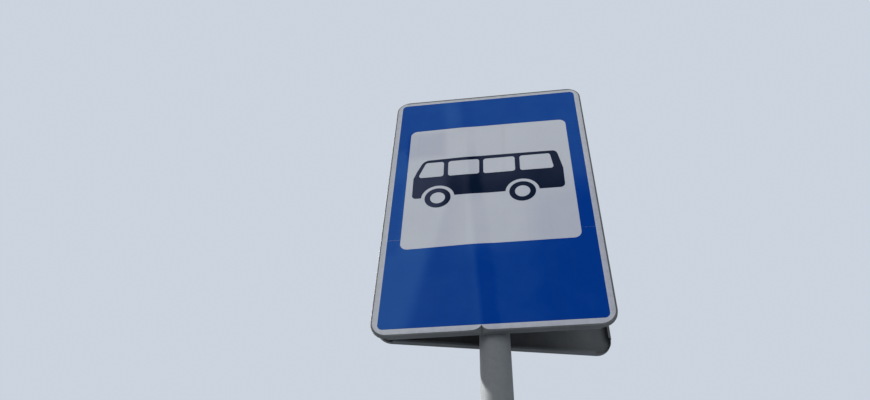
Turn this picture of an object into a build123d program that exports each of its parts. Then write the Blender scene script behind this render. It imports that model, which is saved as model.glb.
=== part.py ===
from build123d import *

import os
from math import cos, radians, sin

os.makedirs("parts", exist_ok=True)

# A two-faced bus stop sign on a round steel post, in millimetres.
# +Z is up, the post's axis is the Z axis and the ground is at Z = 0.
# The front plate is read by someone who looks along +Y.

# Post, welded to its foot
POST_DIAMETER = 76.0
POST_WALL = 3.0
POST_BELOW_TOP = 12.0          # from the post's end up to the front plate's upper edge

# Foot
BASE_WIDTH = 300.0
BASE_THICKNESS = 12.0
BASE_CORNER = 20.0
BASE_CHAMFER = 1.0
ANCHOR_FROM_EDGE = 40.0
ANCHOR_HOLE = 18.0
GUSSET_COUNT = 4
GUSSET_THICKNESS = 8.0
GUSSET_HEIGHT = 120.0
GUSSET_FROM_EDGE = 27.0
GUSSET_TOE = 12.0              # upright nose of a gusset, above and outside
GUSSET_MOUSE_HOLE = 12.0       # corner cut that clears the post's weld
WELD_LEG = 6.0
WELD_ROOT = 0.2                # play between the post and what is welded to it

# Cap in the post's upper end
CAP_BRIM = 3.0
CAP_DOME = 6.0
CAP_SPIGOT = 18.0
CAP_PLAY = 0.3
CAP_WALL = 2.5

# Sign plate, a folded steel tray
CLEAR_HEIGHT = 2000.0          # from the ground up to the front plate's lower edge
PLATE_WIDTH = 600.0
PLATE_HEIGHT = 900.0
PLATE_CORNER = 43.0
PLATE_SHEET = 1.2
FOLD_RADIUS = 3.0
RIM_DEPTH = 17.0
RIM_DEPTH_AT_CORNER = 11.0
LIP_WIDTH = 7.0
LIP_TAPER = 5.0
CORNER_NOTCH = 0.5             # from a corner's arc to the end of the deep rim

# Sheeting, in layers that lie on each other
FILM_INSET = 4.7
WHITE_FILM = 0.4
COLOUR_FILM = 0.3
BORDER = 14.5
FIELD_CORNER = 14.0
WINDOW_WIDTH = 486.0
WINDOW_HEIGHT = 480.0
WINDOW_BELOW_TOP = 147.5       # from the white film's upper edge
WINDOW_CORNER = 21.0
SEAM_GAP = 0.8
UPPER_SEAM_BELOW_TOP = 177.0
LOWER_SEAM_BELOW_TOP = 589.0

# Bus figure, measured from the window's centre line and down from its upper edge
FIGURE_OUTLINE = [
    {"across": -223.2, "down": 296.8, "radius": 12.0},
    {"across": -195.0, "down": 296.8, "radius": 3.0},
    {"across": -186.0, "down": 293.0, "radius": 3.0},
    {"across": 216.2, "down": 293.0, "radius": 14.0},
    {"across": 217.0, "down": 216.5, "radius": 20.0},
    {"across": 205.6, "down": 153.0, "radius": 10.0},
    {"across": 199.3, "down": 140.2, "radius": 14.0},
    {"across": 0.0, "down": 137.3, "radius": 60.0},
    {"across": -195.4, "down": 140.0, "radius": 28.0},
    {"across": -214.8, "down": 187.5, "radius": 30.0},
    {"across": -223.6, "down": 215.0, "radius": 20.0},
]
PANES = [
    {"top_left": -188.6, "top_right": -133.8, "bottom_left": -211.0, "bottom_right": -133.8},
    {"top_left": -120.6, "top_right": -27.5, "bottom_left": -120.6, "bottom_right": -27.5},
    {"top_left": -15.5, "top_right": 78.5, "bottom_left": -15.5, "bottom_right": 78.5},
    {"top_left": 92.7, "top_right": 182.9, "bottom_left": 92.7, "bottom_right": 191.0},
]
PANE_TOP = 151.0
PANE_BOTTOM = 213.0
PANE_RADIUS = 8.5
WHEELS_ACROSS = [-147.9, 95.7]
WHEELS_DOWN = 298.4
WHEEL_RADIUS = 37.8
HUB_RADIUS = 21.7
ARCH_GAP = 10.8

# Rails across the back of each plate
RAIL_END_FROM_EDGE = 40.0
RAIL_LENGTH = PLATE_WIDTH - 2 * RAIL_END_FROM_EDGE
RAIL_HEIGHT = 40.0
RAIL_DEPTH = 18.0
RAIL_WALL = 1.5
RAIL_SLOT = 12.0

# Straps that pull the rails against the post
STRAP_HEIGHT = 30.0
STRAP_THICKNESS = 3.0
STRAP_BEND = 3.0
BOLT_DIAMETER = 8.0
BOLT_HOLE = 9.0
BOLT_FROM_STRAP = 15.0         # from the strap's leg out to the bolt
EAR_BEYOND_BOLT = 14.0
WASHER_DIAMETER = 16.0
WASHER_THICKNESS = 1.6
HEAD_FLATS = 13.0
HEAD_THICKNESS = 5.3
CHANNEL_NUT_LENGTH = 20.0
CHANNEL_NUT_THICKNESS = 5.0
CHANNEL_NUT_PLAY = 1.0

SEAT_GAP = 0.3                 # play between a curved face and what it rests on

# How the two plates hang on the post
LEAN = 1.0                     # degrees out of upright, each in its own plane
REAR_TURN = 12.1               # degrees that the rear plate is turned about the post
REAR_LIFT = 14.0               # that the rear plate is higher
FRONT_SHIFT = 5.0              # to the reader's right of the post
REAR_SHIFT = -14.5
FRONT_RAIL_FROM_EDGE = 200.0   # from a plate's upper or lower edge to the rail's middle
REAR_RAIL_FROM_EDGE = 260.0

SIDES = {
    "front": {
        "turn": 0.0,
        "lean": LEAN,
        "shift": FRONT_SHIFT,
        "lift": 0.0,
        "rail_spread": PLATE_HEIGHT - 2 * FRONT_RAIL_FROM_EDGE,
    },
    "rear": {
        "turn": 180.0 + REAR_TURN,
        "lean": -LEAN,
        "shift": REAR_SHIFT,
        "lift": REAR_LIFT,
        "rail_spread": PLATE_HEIGHT - 2 * REAR_RAIL_FROM_EDGE,
    },
}
RAIL_ENDS = {"upper": 0.5, "lower": -0.5}

POST_RADIUS = POST_DIAMETER / 2
POST_TOP = CLEAR_HEIGHT + PLATE_HEIGHT - POST_BELOW_TOP
SEAT_PLANE = POST_RADIUS + SEAT_GAP
STANDOFF = SEAT_PLANE + RAIL_DEPTH + PLATE_SHEET
FILM_WIDTH = PLATE_WIDTH - 2 * FILM_INSET
FILM_HEIGHT = PLATE_HEIGHT - 2 * FILM_INSET
FILM_TOP = FILM_HEIGHT / 2
WINDOW_TOP = FILM_TOP - WINDOW_BELOW_TOP
STRAP_INNER = POST_RADIUS + SEAT_GAP
STRAP_OUTER = STRAP_INNER + STRAP_THICKNESS
BOLT_X = STRAP_OUTER + BOLT_FROM_STRAP
EAR_END = BOLT_X + EAR_BEYOND_BOLT


# Helpers that work in a plate's own frame: X to the reader's right, Z up, Y away from them


def face_plane(depth):
    """Upright plane at a depth behind the plate's face."""
    return Plane(origin=(0, depth, 0), x_dir=(1, 0, 0), z_dir=(0, -1, 0))


def slab(outline, front, back):
    """The outline as a solid from one depth to another."""
    return extrude(face_plane(back) * outline, amount=back - front)


def rounded_outline(corners):
    """Closed outline from corners, each across, down and its radius."""
    face = make_face(Polyline(*[(c["across"], -c["down"]) for c in corners], close=True))
    for corner in corners:
        point = Vector(corner["across"], -corner["down"], 0)
        vertex = face.vertices().sort_by(lambda v: (Vector(v) - point).length)[0]
        face = fillet(vertex, corner["radius"])
    return face


def plate_place(side):
    """Where a plate's own frame lies on the post."""
    centre_height = CLEAR_HEIGHT + PLATE_HEIGHT / 2 + side["lift"]
    on_post = Pos(side["shift"], -STANDOFF, centre_height)
    return Rot(0, 0, side["turn"]) * on_post * Rot(0, side["lean"], 0)


def clamp_place(side, end):
    """Where a strap sits: square on the post, at the height at which its rail crosses it."""
    lean = radians(side["lean"])
    above_centre = side["rail_spread"] * RAIL_ENDS[end]
    along_rail = -(side["shift"] + above_centre * sin(lean)) / cos(lean)
    height = above_centre * cos(lean) - along_rail * sin(lean)
    centre_height = CLEAR_HEIGHT + PLATE_HEIGHT / 2 + side["lift"]
    return Rot(0, 0, side["turn"]) * Pos(0, 0, centre_height + height)


# Foot


def base_plate():
    """Square foot plate with its anchor holes and the weld round the post."""
    plate = extrude(RectangleRounded(BASE_WIDTH, BASE_WIDTH, BASE_CORNER), amount=BASE_THICKNESS)
    plate = chamfer(plate.faces().sort_by(Axis.Z)[-1].outer_wire().edges(), BASE_CHAMFER)
    spacing = BASE_WIDTH - 2 * ANCHOR_FROM_EDGE
    holes = GridLocations(spacing, spacing, 2, 2) * Cylinder(ANCHOR_HOLE / 2, 3 * BASE_THICKNESS)
    return plate - holes + weld_ring()


def weld_ring():
    """Fillet weld between the post and its foot plate."""
    inner = POST_RADIUS + WELD_ROOT
    corners = [(inner, 0), (inner + WELD_LEG, 0), (inner, WELD_LEG)]
    section = Plane.XZ * make_face(Polyline(*corners, close=True))
    return Pos(0, 0, BASE_THICKNESS) * revolve(section, axis=Axis.Z)


def gusset(index):
    """One of the ribs between the post and its foot plate."""
    root = POST_RADIUS + WELD_ROOT
    tip = BASE_WIDTH / 2 - GUSSET_FROM_EDGE
    top = BASE_THICKNESS + GUSSET_HEIGHT
    toe = BASE_THICKNESS + GUSSET_TOE
    corners = [
        (0, BASE_THICKNESS),
        (tip, BASE_THICKNESS),
        (tip, toe),
        (root + GUSSET_TOE, top),
        (0, top),
    ]
    rib = extrude(Plane.XZ * make_face(Polyline(*corners, close=True)), GUSSET_THICKNESS / 2, both=True)
    rib -= Cylinder(root, 3 * top)
    mouse_hole = Pos(root, 0, BASE_THICKNESS) * Rot(90, 0, 0) * Cylinder(GUSSET_MOUSE_HOLE, POST_DIAMETER)
    return Rot(0, 0, index * 360 / GUSSET_COUNT) * (rib - mouse_hole)


# Post


def post():
    """Round tube that stands on the foot plate."""
    length = POST_TOP - BASE_THICKNESS
    ring = Circle(POST_RADIUS) - Circle(POST_RADIUS - POST_WALL)
    return Pos(0, 0, BASE_THICKNESS) * extrude(ring, amount=length)


def post_cap():
    """Domed cap whose spigot sits in the post."""
    spigot = POST_RADIUS - POST_WALL - CAP_PLAY
    dome_radius = (POST_RADIUS**2 + CAP_DOME**2) / (2 * CAP_DOME)
    crown = CAP_BRIM + CAP_DOME
    cap = extrude(Circle(POST_RADIUS), amount=crown) & Pos(0, 0, crown - dome_radius) * Sphere(dome_radius)
    cap += extrude(Circle(spigot) - Circle(spigot - CAP_WALL), amount=-CAP_SPIGOT)
    return Pos(0, 0, POST_TOP) * cap


# Sign plate


def plate_tray():
    """Face sheet with its folded rim and, on the straight edges, a lip turned inwards."""
    outer = slab(RectangleRounded(PLATE_WIDTH, PLATE_HEIGHT, PLATE_CORNER), 0, RIM_DEPTH)
    outer = fillet(outer.faces().sort_by(Axis.Y)[0].edges(), FOLD_RADIUS)
    hollow_outline = RectangleRounded(
        PLATE_WIDTH - 2 * PLATE_SHEET, PLATE_HEIGHT - 2 * PLATE_SHEET, PLATE_CORNER - PLATE_SHEET
    )
    hollow = slab(hollow_outline, PLATE_SHEET, RIM_DEPTH + PLATE_SHEET)
    hollow = fillet(hollow.faces().sort_by(Axis.Y)[0].edges(), FOLD_RADIUS - PLATE_SHEET)
    tray = outer - hollow
    for outline in lip_outlines():
        tray += slab(outline, RIM_DEPTH - PLATE_SHEET, RIM_DEPTH)
    corner = PLATE_CORNER + CORNER_NOTCH
    corner_cut = GridLocations(PLATE_WIDTH, PLATE_HEIGHT, 2, 2) * Rectangle(2 * corner, 2 * corner)
    return tray - slab(Sketch() + corner_cut, RIM_DEPTH_AT_CORNER, RIM_DEPTH + PLATE_SHEET)


def lip_outlines():
    """The four lips, each a bar whose ends are cut at a slant."""
    outlines = []
    for length, half_across, quarter in (
        (PLATE_WIDTH, PLATE_HEIGHT / 2, 0),
        (PLATE_HEIGHT, PLATE_WIDTH / 2, 90),
    ):
        half_outer = length / 2 - PLATE_CORNER - CORNER_NOTCH
        half_inner = half_outer - LIP_TAPER
        bar = make_face(
            Polyline(
                (-half_outer, half_across),
                (half_outer, half_across),
                (half_inner, half_across - LIP_WIDTH),
                (-half_inner, half_across - LIP_WIDTH),
                close=True,
            )
        )
        outlines += [Rot(0, 0, quarter) * bar, Rot(0, 0, quarter + 180) * bar]
    return outlines


# Sheeting on the plate's face


def white_film():
    """Base film, which shows as the border and the window."""
    outline = RectangleRounded(FILM_WIDTH, FILM_HEIGHT, PLATE_CORNER - FILM_INSET)
    return slab(outline, -WHITE_FILM, 0)


def blue_film():
    """Blue field round the window, in four strips that nearly meet at the seams."""
    field = RectangleRounded(FILM_WIDTH - 2 * BORDER, FILM_HEIGHT - 2 * BORDER, FIELD_CORNER)
    window = Pos(0, WINDOW_TOP - WINDOW_HEIGHT / 2) * RectangleRounded(
        WINDOW_WIDTH, WINDOW_HEIGHT, WINDOW_CORNER
    )
    field -= window
    for below_top in (UPPER_SEAM_BELOW_TOP, LOWER_SEAM_BELOW_TOP):
        field -= Pos(0, FILM_TOP - below_top) * Rectangle(FILM_WIDTH, SEAM_GAP)
    return slab(field, -WHITE_FILM - COLOUR_FILM, -WHITE_FILM)


def figure_body():
    """Side view of a bus that faces left, with panes and wheel arches cut out."""
    outline = rounded_outline(FIGURE_OUTLINE)
    for pane in PANES:
        outline -= pane_outline(pane)
    for across in WHEELS_ACROSS:
        outline -= Pos(across, -WHEELS_DOWN) * Circle(WHEEL_RADIUS + ARCH_GAP)
    return figure_slab(outline)


def pane_outline(pane):
    """One of the panes, a four-sided outline with round corners."""
    corners = [
        (pane["bottom_left"], PANE_BOTTOM),
        (pane["bottom_right"], PANE_BOTTOM),
        (pane["top_right"], PANE_TOP),
        (pane["top_left"], PANE_TOP),
    ]
    return rounded_outline([{"across": x, "down": y, "radius": PANE_RADIUS} for x, y in corners])


def figure_wheels():
    """Two black rings, whose hubs are the white film."""
    ring = Circle(WHEEL_RADIUS) - Circle(HUB_RADIUS)
    rings = Sketch() + [Pos(across, -WHEELS_DOWN) * ring for across in WHEELS_ACROSS]
    return figure_slab(rings)


def figure_slab(outline):
    """A piece of the figure as a film on the window."""
    return slab(Pos(0, WINDOW_TOP) * outline, -WHITE_FILM - COLOUR_FILM, -WHITE_FILM)


# What holds the plates


def rail(side, end):
    """C-section rail on the plate's back, its slot towards the post."""
    bottom = PLATE_SHEET
    top = PLATE_SHEET + RAIL_DEPTH
    inner = RAIL_HEIGHT - 2 * RAIL_WALL
    profile = slab(Rectangle(RAIL_LENGTH, RAIL_HEIGHT), bottom, top)
    profile -= slab(Rectangle(2 * RAIL_LENGTH, inner), bottom + RAIL_WALL, top - RAIL_WALL)
    profile -= slab(Rectangle(2 * RAIL_LENGTH, RAIL_SLOT), bottom + RAIL_WALL, top + RAIL_WALL)
    return Pos(0, 0, side["rail_spread"] * RAIL_ENDS[end]) * profile


def strap():
    """U-shaped strap round the post, with an ear on each side against the rail."""
    outer = Circle(STRAP_OUTER) + Pos(0, -SEAT_PLANE / 2) * Rectangle(2 * STRAP_OUTER, SEAT_PLANE)
    bore = Circle(STRAP_INNER) + Pos(0, -SEAT_PLANE) * Rectangle(2 * STRAP_INNER, 2 * SEAT_PLANE)
    ears = Pos(0, -SEAT_PLANE + STRAP_THICKNESS / 2) * Rectangle(2 * EAR_END, STRAP_THICKNESS)
    body = extrude(outer + ears - bore, STRAP_HEIGHT / 2, both=True)
    upright = body.edges().filter_by(Axis.Z)
    ear_top = -SEAT_PLANE + STRAP_THICKNESS
    for x in (-STRAP_OUTER, STRAP_OUTER):
        bend = upright.sort_by(lambda e: (e.center() - Vector(x, ear_top, 0)).length)[0]
        body = fillet(bend, STRAP_BEND)
    for x in (-BOLT_X, BOLT_X):
        body -= Pos(x, -SEAT_PLANE, 0) * Rot(90, 0, 0) * Cylinder(BOLT_HOLE / 2, 4 * STRAP_THICKNESS)
    return body


def strap_bolt(x):
    """Bolt with its washer and the nut that slides in the rail."""
    seat = -SEAT_PLANE + STRAP_THICKNESS
    nut_face = -SEAT_PLANE - RAIL_WALL
    nut_height = RAIL_HEIGHT - 2 * RAIL_WALL - 2 * CHANNEL_NUT_PLAY
    head_top = seat + WASHER_THICKNESS + HEAD_THICKNESS
    shank_end = nut_face - CHANNEL_NUT_THICKNESS
    shank = slab(Circle(BOLT_DIAMETER / 2), shank_end, head_top)
    washer = slab(Circle(WASHER_DIAMETER / 2), seat, seat + WASHER_THICKNESS)
    head_outline = RegularPolygon(HEAD_FLATS / 2, 6, major_radius=False)
    head = slab(head_outline, seat + WASHER_THICKNESS, head_top)
    nut = slab(Rectangle(CHANNEL_NUT_LENGTH, nut_height), shank_end, nut_face)
    return Pos(x, 0, 0) * (shank + washer + head + nut)


def strap_bolts():
    """The pair of bolts of one strap."""
    return Compound(children=[strap_bolt(-BOLT_X), strap_bolt(BOLT_X)])


def write(node, shape):
    """One file for each piece."""
    export_step(shape, f"parts/{node}.step")


write("base_plate", base_plate())
for index in range(GUSSET_COUNT):
    write(f"base_gusset_{index + 1}", gusset(index))
write("post", post())
write("post_cap", post_cap())

for name, side in SIDES.items():
    place = plate_place(side)
    write(f"{name}_plate", place * plate_tray())
    write(f"{name}_white_film", place * white_film())
    write(f"{name}_blue_film", place * blue_film())
    write(f"{name}_figure_body", place * figure_body())
    write(f"{name}_figure_wheels", place * figure_wheels())
    for end in RAIL_ENDS:
        write(f"{name}_rail_{end}", place * rail(side, end))
        on_post = clamp_place(side, end)
        write(f"{name}_strap_{end}", on_post * strap())
        write(f"{name}_bolts_{end}", on_post * strap_bolts())
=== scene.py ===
"""Looks of a two-faced bus stop sign on a round steel post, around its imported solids.

Lengths are millimetres until a mesh is made, where they become metres. A plate's own frame has
X to its reader's right, Y back away from the reader and Z up, from the middle of its face.
"""

import logging
import math
from collections.abc import Callable
from dataclasses import dataclass, field
from enum import Enum
from functools import partial

import bmesh
import bpy
import numpy as np
from mathutils import Matrix, Vector, geometry


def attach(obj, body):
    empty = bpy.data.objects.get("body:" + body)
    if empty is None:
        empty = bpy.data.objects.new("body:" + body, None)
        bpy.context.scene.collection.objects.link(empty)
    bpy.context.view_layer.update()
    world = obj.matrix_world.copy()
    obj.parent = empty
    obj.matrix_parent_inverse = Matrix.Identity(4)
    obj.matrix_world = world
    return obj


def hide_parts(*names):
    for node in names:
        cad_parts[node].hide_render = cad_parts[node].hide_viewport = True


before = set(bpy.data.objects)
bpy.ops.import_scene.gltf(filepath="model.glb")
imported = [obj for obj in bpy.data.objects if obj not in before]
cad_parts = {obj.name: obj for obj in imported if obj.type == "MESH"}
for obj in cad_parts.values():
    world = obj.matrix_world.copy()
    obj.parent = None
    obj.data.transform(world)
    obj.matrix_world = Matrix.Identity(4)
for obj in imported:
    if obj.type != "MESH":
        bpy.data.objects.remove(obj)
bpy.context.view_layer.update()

log = logging.getLogger("bus_stop_sign")

MM = 0.001
BODY = "root"

TINY = 1e-6
SAME_POINT = 1e-4
NEAR = 0.01
ALIGNED = 0.9999

# The plates' driving sizes
PLATE_WIDTH = 600.0
PLATE_HEIGHT = 900.0
FILM_INSET = 4.7

# The post's radius and the thickness of the plate under it
POST_RADIUS = 38.0
FOOT_THICKNESS = 12.0

Array = np.ndarray
Piece = bpy.types.Object
Material = bpy.types.Material
Node = bpy.types.Node
Socket = bpy.types.NodeSocket
NodeTree = bpy.types.NodeTree
Colour = tuple[float, float, float]
Faces = list[tuple[int, ...]]
Skin = tuple[Array, Faces]
OutlineMaker = Callable[[float], Array]
Pair = tuple[float, float]
Spot = tuple[float, float, float]
Span = tuple[float, float, float, float]


class Attribute(str, Enum):
    """What a mesh carries for its finish, beside its shape."""

    PLACE = "place_on_plate"
    # chalk hazing, partly painted sheen and painted shade
    HAZE = "haze"
    WEAR = "wear"


# Outlines


@dataclass(frozen=True)
class Corner:
    """A corner of an outline, and the radius that rounds it."""

    across: float
    up: float
    radius: float = 0.0


def rounded(corners: list[Corner], step: float = 6.0) -> Array:
    """Makes a closed outline with its corners rounded.

    Args:
        corners: The corners in order.
        step: Degrees between two points of a round.

    Returns:
        The outline's points, one row each.
    """
    outline = []
    for index, corner in enumerate(corners):
        before = corners[index - 1]
        after = corners[(index + 1) % len(corners)]
        here = Vector((corner.across, corner.up))
        if corner.radius <= 0:
            outline.append(here)
            continue
        back = (Vector((before.across, before.up)) - here).normalized()
        ahead = (Vector((after.across, after.up)) - here).normalized()
        half = back.angle(ahead) / 2
        centre = here + (back + ahead).normalized() * corner.radius / math.sin(half)
        first = here + back * corner.radius / math.tan(half) - centre
        turn = math.pi - 2 * half
        if back.cross(ahead) > 0:
            turn = -turn
        steps = max(2, math.ceil(abs(math.degrees(turn)) / step))
        for k in range(steps + 1):
            outline.append(centre + Matrix.Rotation(turn * k / steps, 2) @ first)
    return np.array([tuple(point) for point in outline])


def rounded_rectangle(width: float, height: float, radius: float) -> Array:
    """Makes a rectangle's outline with round corners, anticlockwise from its lower right corner.

    Args:
        width: Its full width.
        height: Its full height.
        radius: Radius of its corners.

    Returns:
        The outline's points.
    """
    half_width, half_height = width / 2, height / 2
    signs = ((1, -1), (1, 1), (-1, 1), (-1, -1))
    return rounded([Corner(x * half_width, z * half_height, radius) for x, z in signs])


def circle(across: float, up: float, radius: float, count: int = 72) -> Array:
    """Makes a circle's outline of count points, anticlockwise."""
    angles = np.linspace(0, 2 * math.pi, count, endpoint=False)
    return np.column_stack((across + radius * np.cos(angles), up + radius * np.sin(angles)))


def divided(loop: Array, step: Callable[[Array], float]) -> Array:
    """Adds points on an outline's long edges.

    Args:
        loop: The closed outline.
        step: Gives the longest edge that may stay near a point.

    Returns:
        The outline with its added points.
    """
    points = []
    for start, end in zip(loop, np.roll(loop, -1, axis=0)):
        span = np.linalg.norm(end - start)
        done = 0.0
        while done < span - TINY:
            here = start + (end - start) * done / span
            points.append(here)
            left = span - done
            stride = step(here + (end - start) / span * min(step(here), left) / 2)
            done += left / max(1, math.ceil(left / stride))
    return np.array(points)


def inside(points: Array, loop: Array) -> Array:
    """Tells which points lie inside a closed outline.

    Args:
        points: The points, one row each.
        loop: The outline.

    Returns:
        One truth value for each point.
    """
    x, z = points[:, :1], points[:, 1:]
    x_from, z_from = loop[:, 0], loop[:, 1]
    x_to, z_to = np.roll(loop, -1, axis=0).T
    rise = np.where(z_to == z_from, 1.0, z_to - z_from)
    crosses = (z_from > z) != (z_to > z)
    at = x_from + (z - z_from) * (x_to - x_from) / rise
    return (crosses & (x < at)).sum(axis=1) % 2 == 1


def smooth(value: Array, low: float, high: float) -> Array:
    """Rises smoothly from 0 at low to 1 at high."""
    share = np.clip((value - low) / (high - low), 0.0, 1.0)
    return share * share * (3 - 2 * share)


def between(value: Array, start: float, full: float, fall: float, end: float) -> Array:
    """Rises smoothly from 0 at start to 1 at full, and falls from there at fall to 0 at end."""
    return smooth(value, start, full) * (1 - smooth(value, fall, end))


def bell(value: Array, middle: float, width: float) -> Array:
    """Is 1 at a middle and falls off smoothly on both sides of it."""
    return np.exp(-(((value - middle) / width) ** 2))


# Meshes


def linked(name: str, data: object) -> Piece:
    """Makes an object of a mesh, a lamp or a camera, and adds it to the scene."""
    piece = bpy.data.objects.new(name, data)
    bpy.context.scene.collection.objects.link(piece)
    return piece


def make_object(
    name: str,
    points: Array,
    faces: Faces,
    place: Matrix | None = None,
    sharp: float = 35.0,
    closed: bool = True,
) -> Piece:
    """Makes an object at the origin from points in millimetres.

    Args:
        name: The object's name.
        points: The points, one row of X, Y and Z each.
        faces: The faces, as indices of points.
        place: Where the points' own frame lies, in millimetres.
        sharp: Degrees of turn from which an edge stays sharp.
        closed: Whether the skin is closed, so that its faces can be turned outwards.

    Returns:
        The new object.
    """
    mesh = bpy.data.meshes.new(name)
    mesh.from_pydata([tuple(point) for point in points], [], faces)
    if place is not None:
        mesh.transform(place)
    mesh.transform(Matrix.Scale(MM, 4))
    if closed:
        skin = bmesh.new()
        skin.from_mesh(mesh)
        bmesh.ops.recalc_face_normals(skin, faces=skin.faces)
        skin.to_mesh(mesh)
        skin.free()
    soften(mesh, sharp)
    return linked(name, mesh)


def soften(mesh: bpy.types.Mesh, sharp: float) -> None:
    """Shades a mesh smooth, apart from edges that turn by more than sharp degrees."""
    mesh.polygons.foreach_set("use_smooth", [True] * len(mesh.polygons))
    mesh.set_sharp_from_angle(angle=math.radians(sharp))


def settle(piece: Piece, sharp: float = 35.0) -> Piece:
    """Turns what a piece's modifiers make into its plain mesh.

    Args:
        piece: The piece, whose modifiers are then removed.
        sharp: Degrees of turn from which an edge stays sharp.

    Returns:
        The same piece.
    """
    graph = bpy.context.evaluated_depsgraph_get()
    mesh = bpy.data.meshes.new_from_object(piece.evaluated_get(graph), depsgraph=graph)
    mesh.name = piece.name
    piece.modifiers.clear()
    piece.data = mesh
    soften(mesh, sharp)
    return piece


def bevelled(piece: Piece, width: float) -> Piece:
    """Rounds a piece's sharp edges by a width in millimetres and settles it.

    Args:
        piece: The piece.
        width: How wide the rounds are.

    Returns:
        The same piece.
    """
    bevel = piece.modifiers.new("worn edges", "BEVEL")
    bevel.width = width * MM
    bevel.segments = 2
    bevel.limit_method = "ANGLE"
    bevel.angle_limit = math.radians(40)
    bevel.harden_normals = False
    return settle(piece)


def carry(piece: Piece, name: Attribute, values: Array) -> None:
    """Stores one number or one vector for each point of a piece's mesh."""
    vector = values.ndim == 2
    kind = "FLOAT_VECTOR" if vector else "FLOAT"
    attribute = piece.data.attributes.new(name.value, kind, "POINT")
    attribute.data.foreach_set("vector" if vector else "value", values.astype(np.float32).ravel())


def level(loop: Array, height: float | Array) -> Array:
    """Lays an outline flat at a height, or each of its points at one of its own."""
    return np.column_stack((loop, np.broadcast_to(height, len(loop))))


def standing(flat: Array, depth: float = 0.0) -> Array:
    """Stands points of a face upright, at a depth behind it."""
    return np.column_stack((flat[:, 0], np.full(len(flat), depth), flat[:, 1]))


def skin(rings: list[Array], loop: bool = False) -> Skin:
    """Makes a closed skin through rings of equally many points.

    Args:
        rings: The rings in order.
        loop: Whether the last ring joins the first, instead of a flat face at each end.

    Returns:
        The points and the faces.
    """
    count = len(rings[0])
    last = len(rings) if loop else len(rings) - 1
    faces: Faces = []
    for k in range(last):
        here, there = k * count, (k + 1) % len(rings) * count
        for i in range(count):
            j = (i + 1) % count
            faces.append((here + i, here + j, there + j, there + i))
    if not loop:
        faces.append(tuple(range(count))[::-1])
        faces.append(tuple(range(last * count, (last + 1) * count)))
    return np.vstack(rings), faces


def prism(loop: Array, low: float, high: float) -> Skin:
    """Makes a straight block of an outline between two heights."""
    return skin([level(loop, low), level(loop, high)])


def lathe(profile: list[Pair], count: int, loop: bool = False) -> Skin:
    """Turns a profile of radius and height about Z.

    Args:
        profile: The profile's points.
        count: Points round the axis.
        loop: Whether the profile is closed, as a tube's is.

    Returns:
        The points and the faces.
    """
    return skin([level(circle(0, 0, radius, count), height) for radius, height in profile], loop)


def triangulated(loops: list[Array], extra: Array | None = None) -> tuple[Array, Array, list[list[int]]]:
    """Fills outlines with triangles, which keep to every outline's edges.

    Args:
        loops: Closed outlines, the first of which holds all others.
        extra: More points to use inside.

    Returns:
        The points, the triangles and, for each loop, its points' numbers.
    """
    points = [] if extra is None else [Vector(point) for point in extra]
    edges, spans = [], []
    for loop in loops:
        start = len(points)
        points += [Vector(point) for point in loop]
        count = len(loop)
        edges += [(start + i, start + (i + 1) % count) for i in range(count)]
        spans.append(range(start, start + count))
    made = geometry.delaunay_2d_cdt(points, edges, [], 0, SAME_POINT, True)
    numbers = {old: new for new, olds in enumerate(made[3]) for old in olds}
    flat = np.array([tuple(point) for point in made[0]])
    triangles = np.array(made[2])
    return flat, triangles, [[numbers[old] for old in span] for span in spans]


def slab_with_holes(rows: list[Pair], outer: OutlineMaker, holes: list[OutlineMaker]) -> Skin:
    """Makes a flat slab with holes, whose edges are worn.

    Args:
        rows: Height and inset of each row of the walls, from below upwards.
        outer: Gives the outer outline for an inset.
        holes: Give each hole's outline for an inset, which widens it.

    Returns:
        The points and the faces.
    """
    points: list[Array] = []
    faces: Faces = []
    total = 0
    ends: list[list[range]] = [[], []]
    for shape in (outer, *holes):
        rings = [level(shape(inset), z) for z, inset in rows]
        wall, sides = skin(rings)
        faces += [tuple(total + i for i in side) for side in sides[:-2]]
        count = len(rings[0])
        ends[0].append(range(total, total + count))
        ends[1].append(range(total + len(wall) - count, total + len(wall)))
        points.append(wall)
        total += len(wall)
    stacked = np.vstack(points)
    for spans in ends:
        loops = [stacked[list(span), :2] for span in spans]
        flat, triangles, numbers = triangulated(loops)
        back = {new: old for span, news in zip(spans, numbers) for old, new in zip(span, news)}
        centres = flat[triangles].mean(axis=1)
        keep = inside(centres, loops[0])
        for hole in loops[1:]:
            keep &= ~inside(centres, hole)
        faces += [tuple(back[i] for i in triangle) for triangle in triangles[keep].tolist()]
    return stacked, faces


# Finishes


@dataclass(frozen=True)
class Patches:
    """Cloudy patches, which grow from least to most as the noise rises from start to full.

    The waves are counted to the metre, along each axis by itself where three numbers are given. The
    tone says how light the patches are beside the colour that they are a shade of.
    """

    waves: float | Colour
    detail: float
    start: float
    full: float
    most: float = 1.0
    least: float = 0.0
    tone: float = 1.0


@dataclass(frozen=True)
class Relief:
    """Fine relief: waves to the metre, the detail in them and their depth in millimetres."""

    waves: float
    detail: float
    depth: float


def add_node(tree: NodeTree, kind: str, feeds: dict[str | int, object], **options: object) -> Node:
    """Adds a node to a tree.

    Args:
        tree: The tree.
        kind: The node's type.
        feeds: What its inputs are linked to or set to, by their names or numbers.
        options: Its settings.

    Returns:
        The node.
    """
    node = tree.nodes.new(kind)
    for option, value in options.items():
        setattr(node, option, value)
    for label, value in feeds.items():
        socket = node.inputs[label]
        if isinstance(value, Socket):
            tree.links.new(value, socket)
        else:
            socket.default_value = (*value, 1.0) if socket.type == "RGBA" else value
    return node


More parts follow.
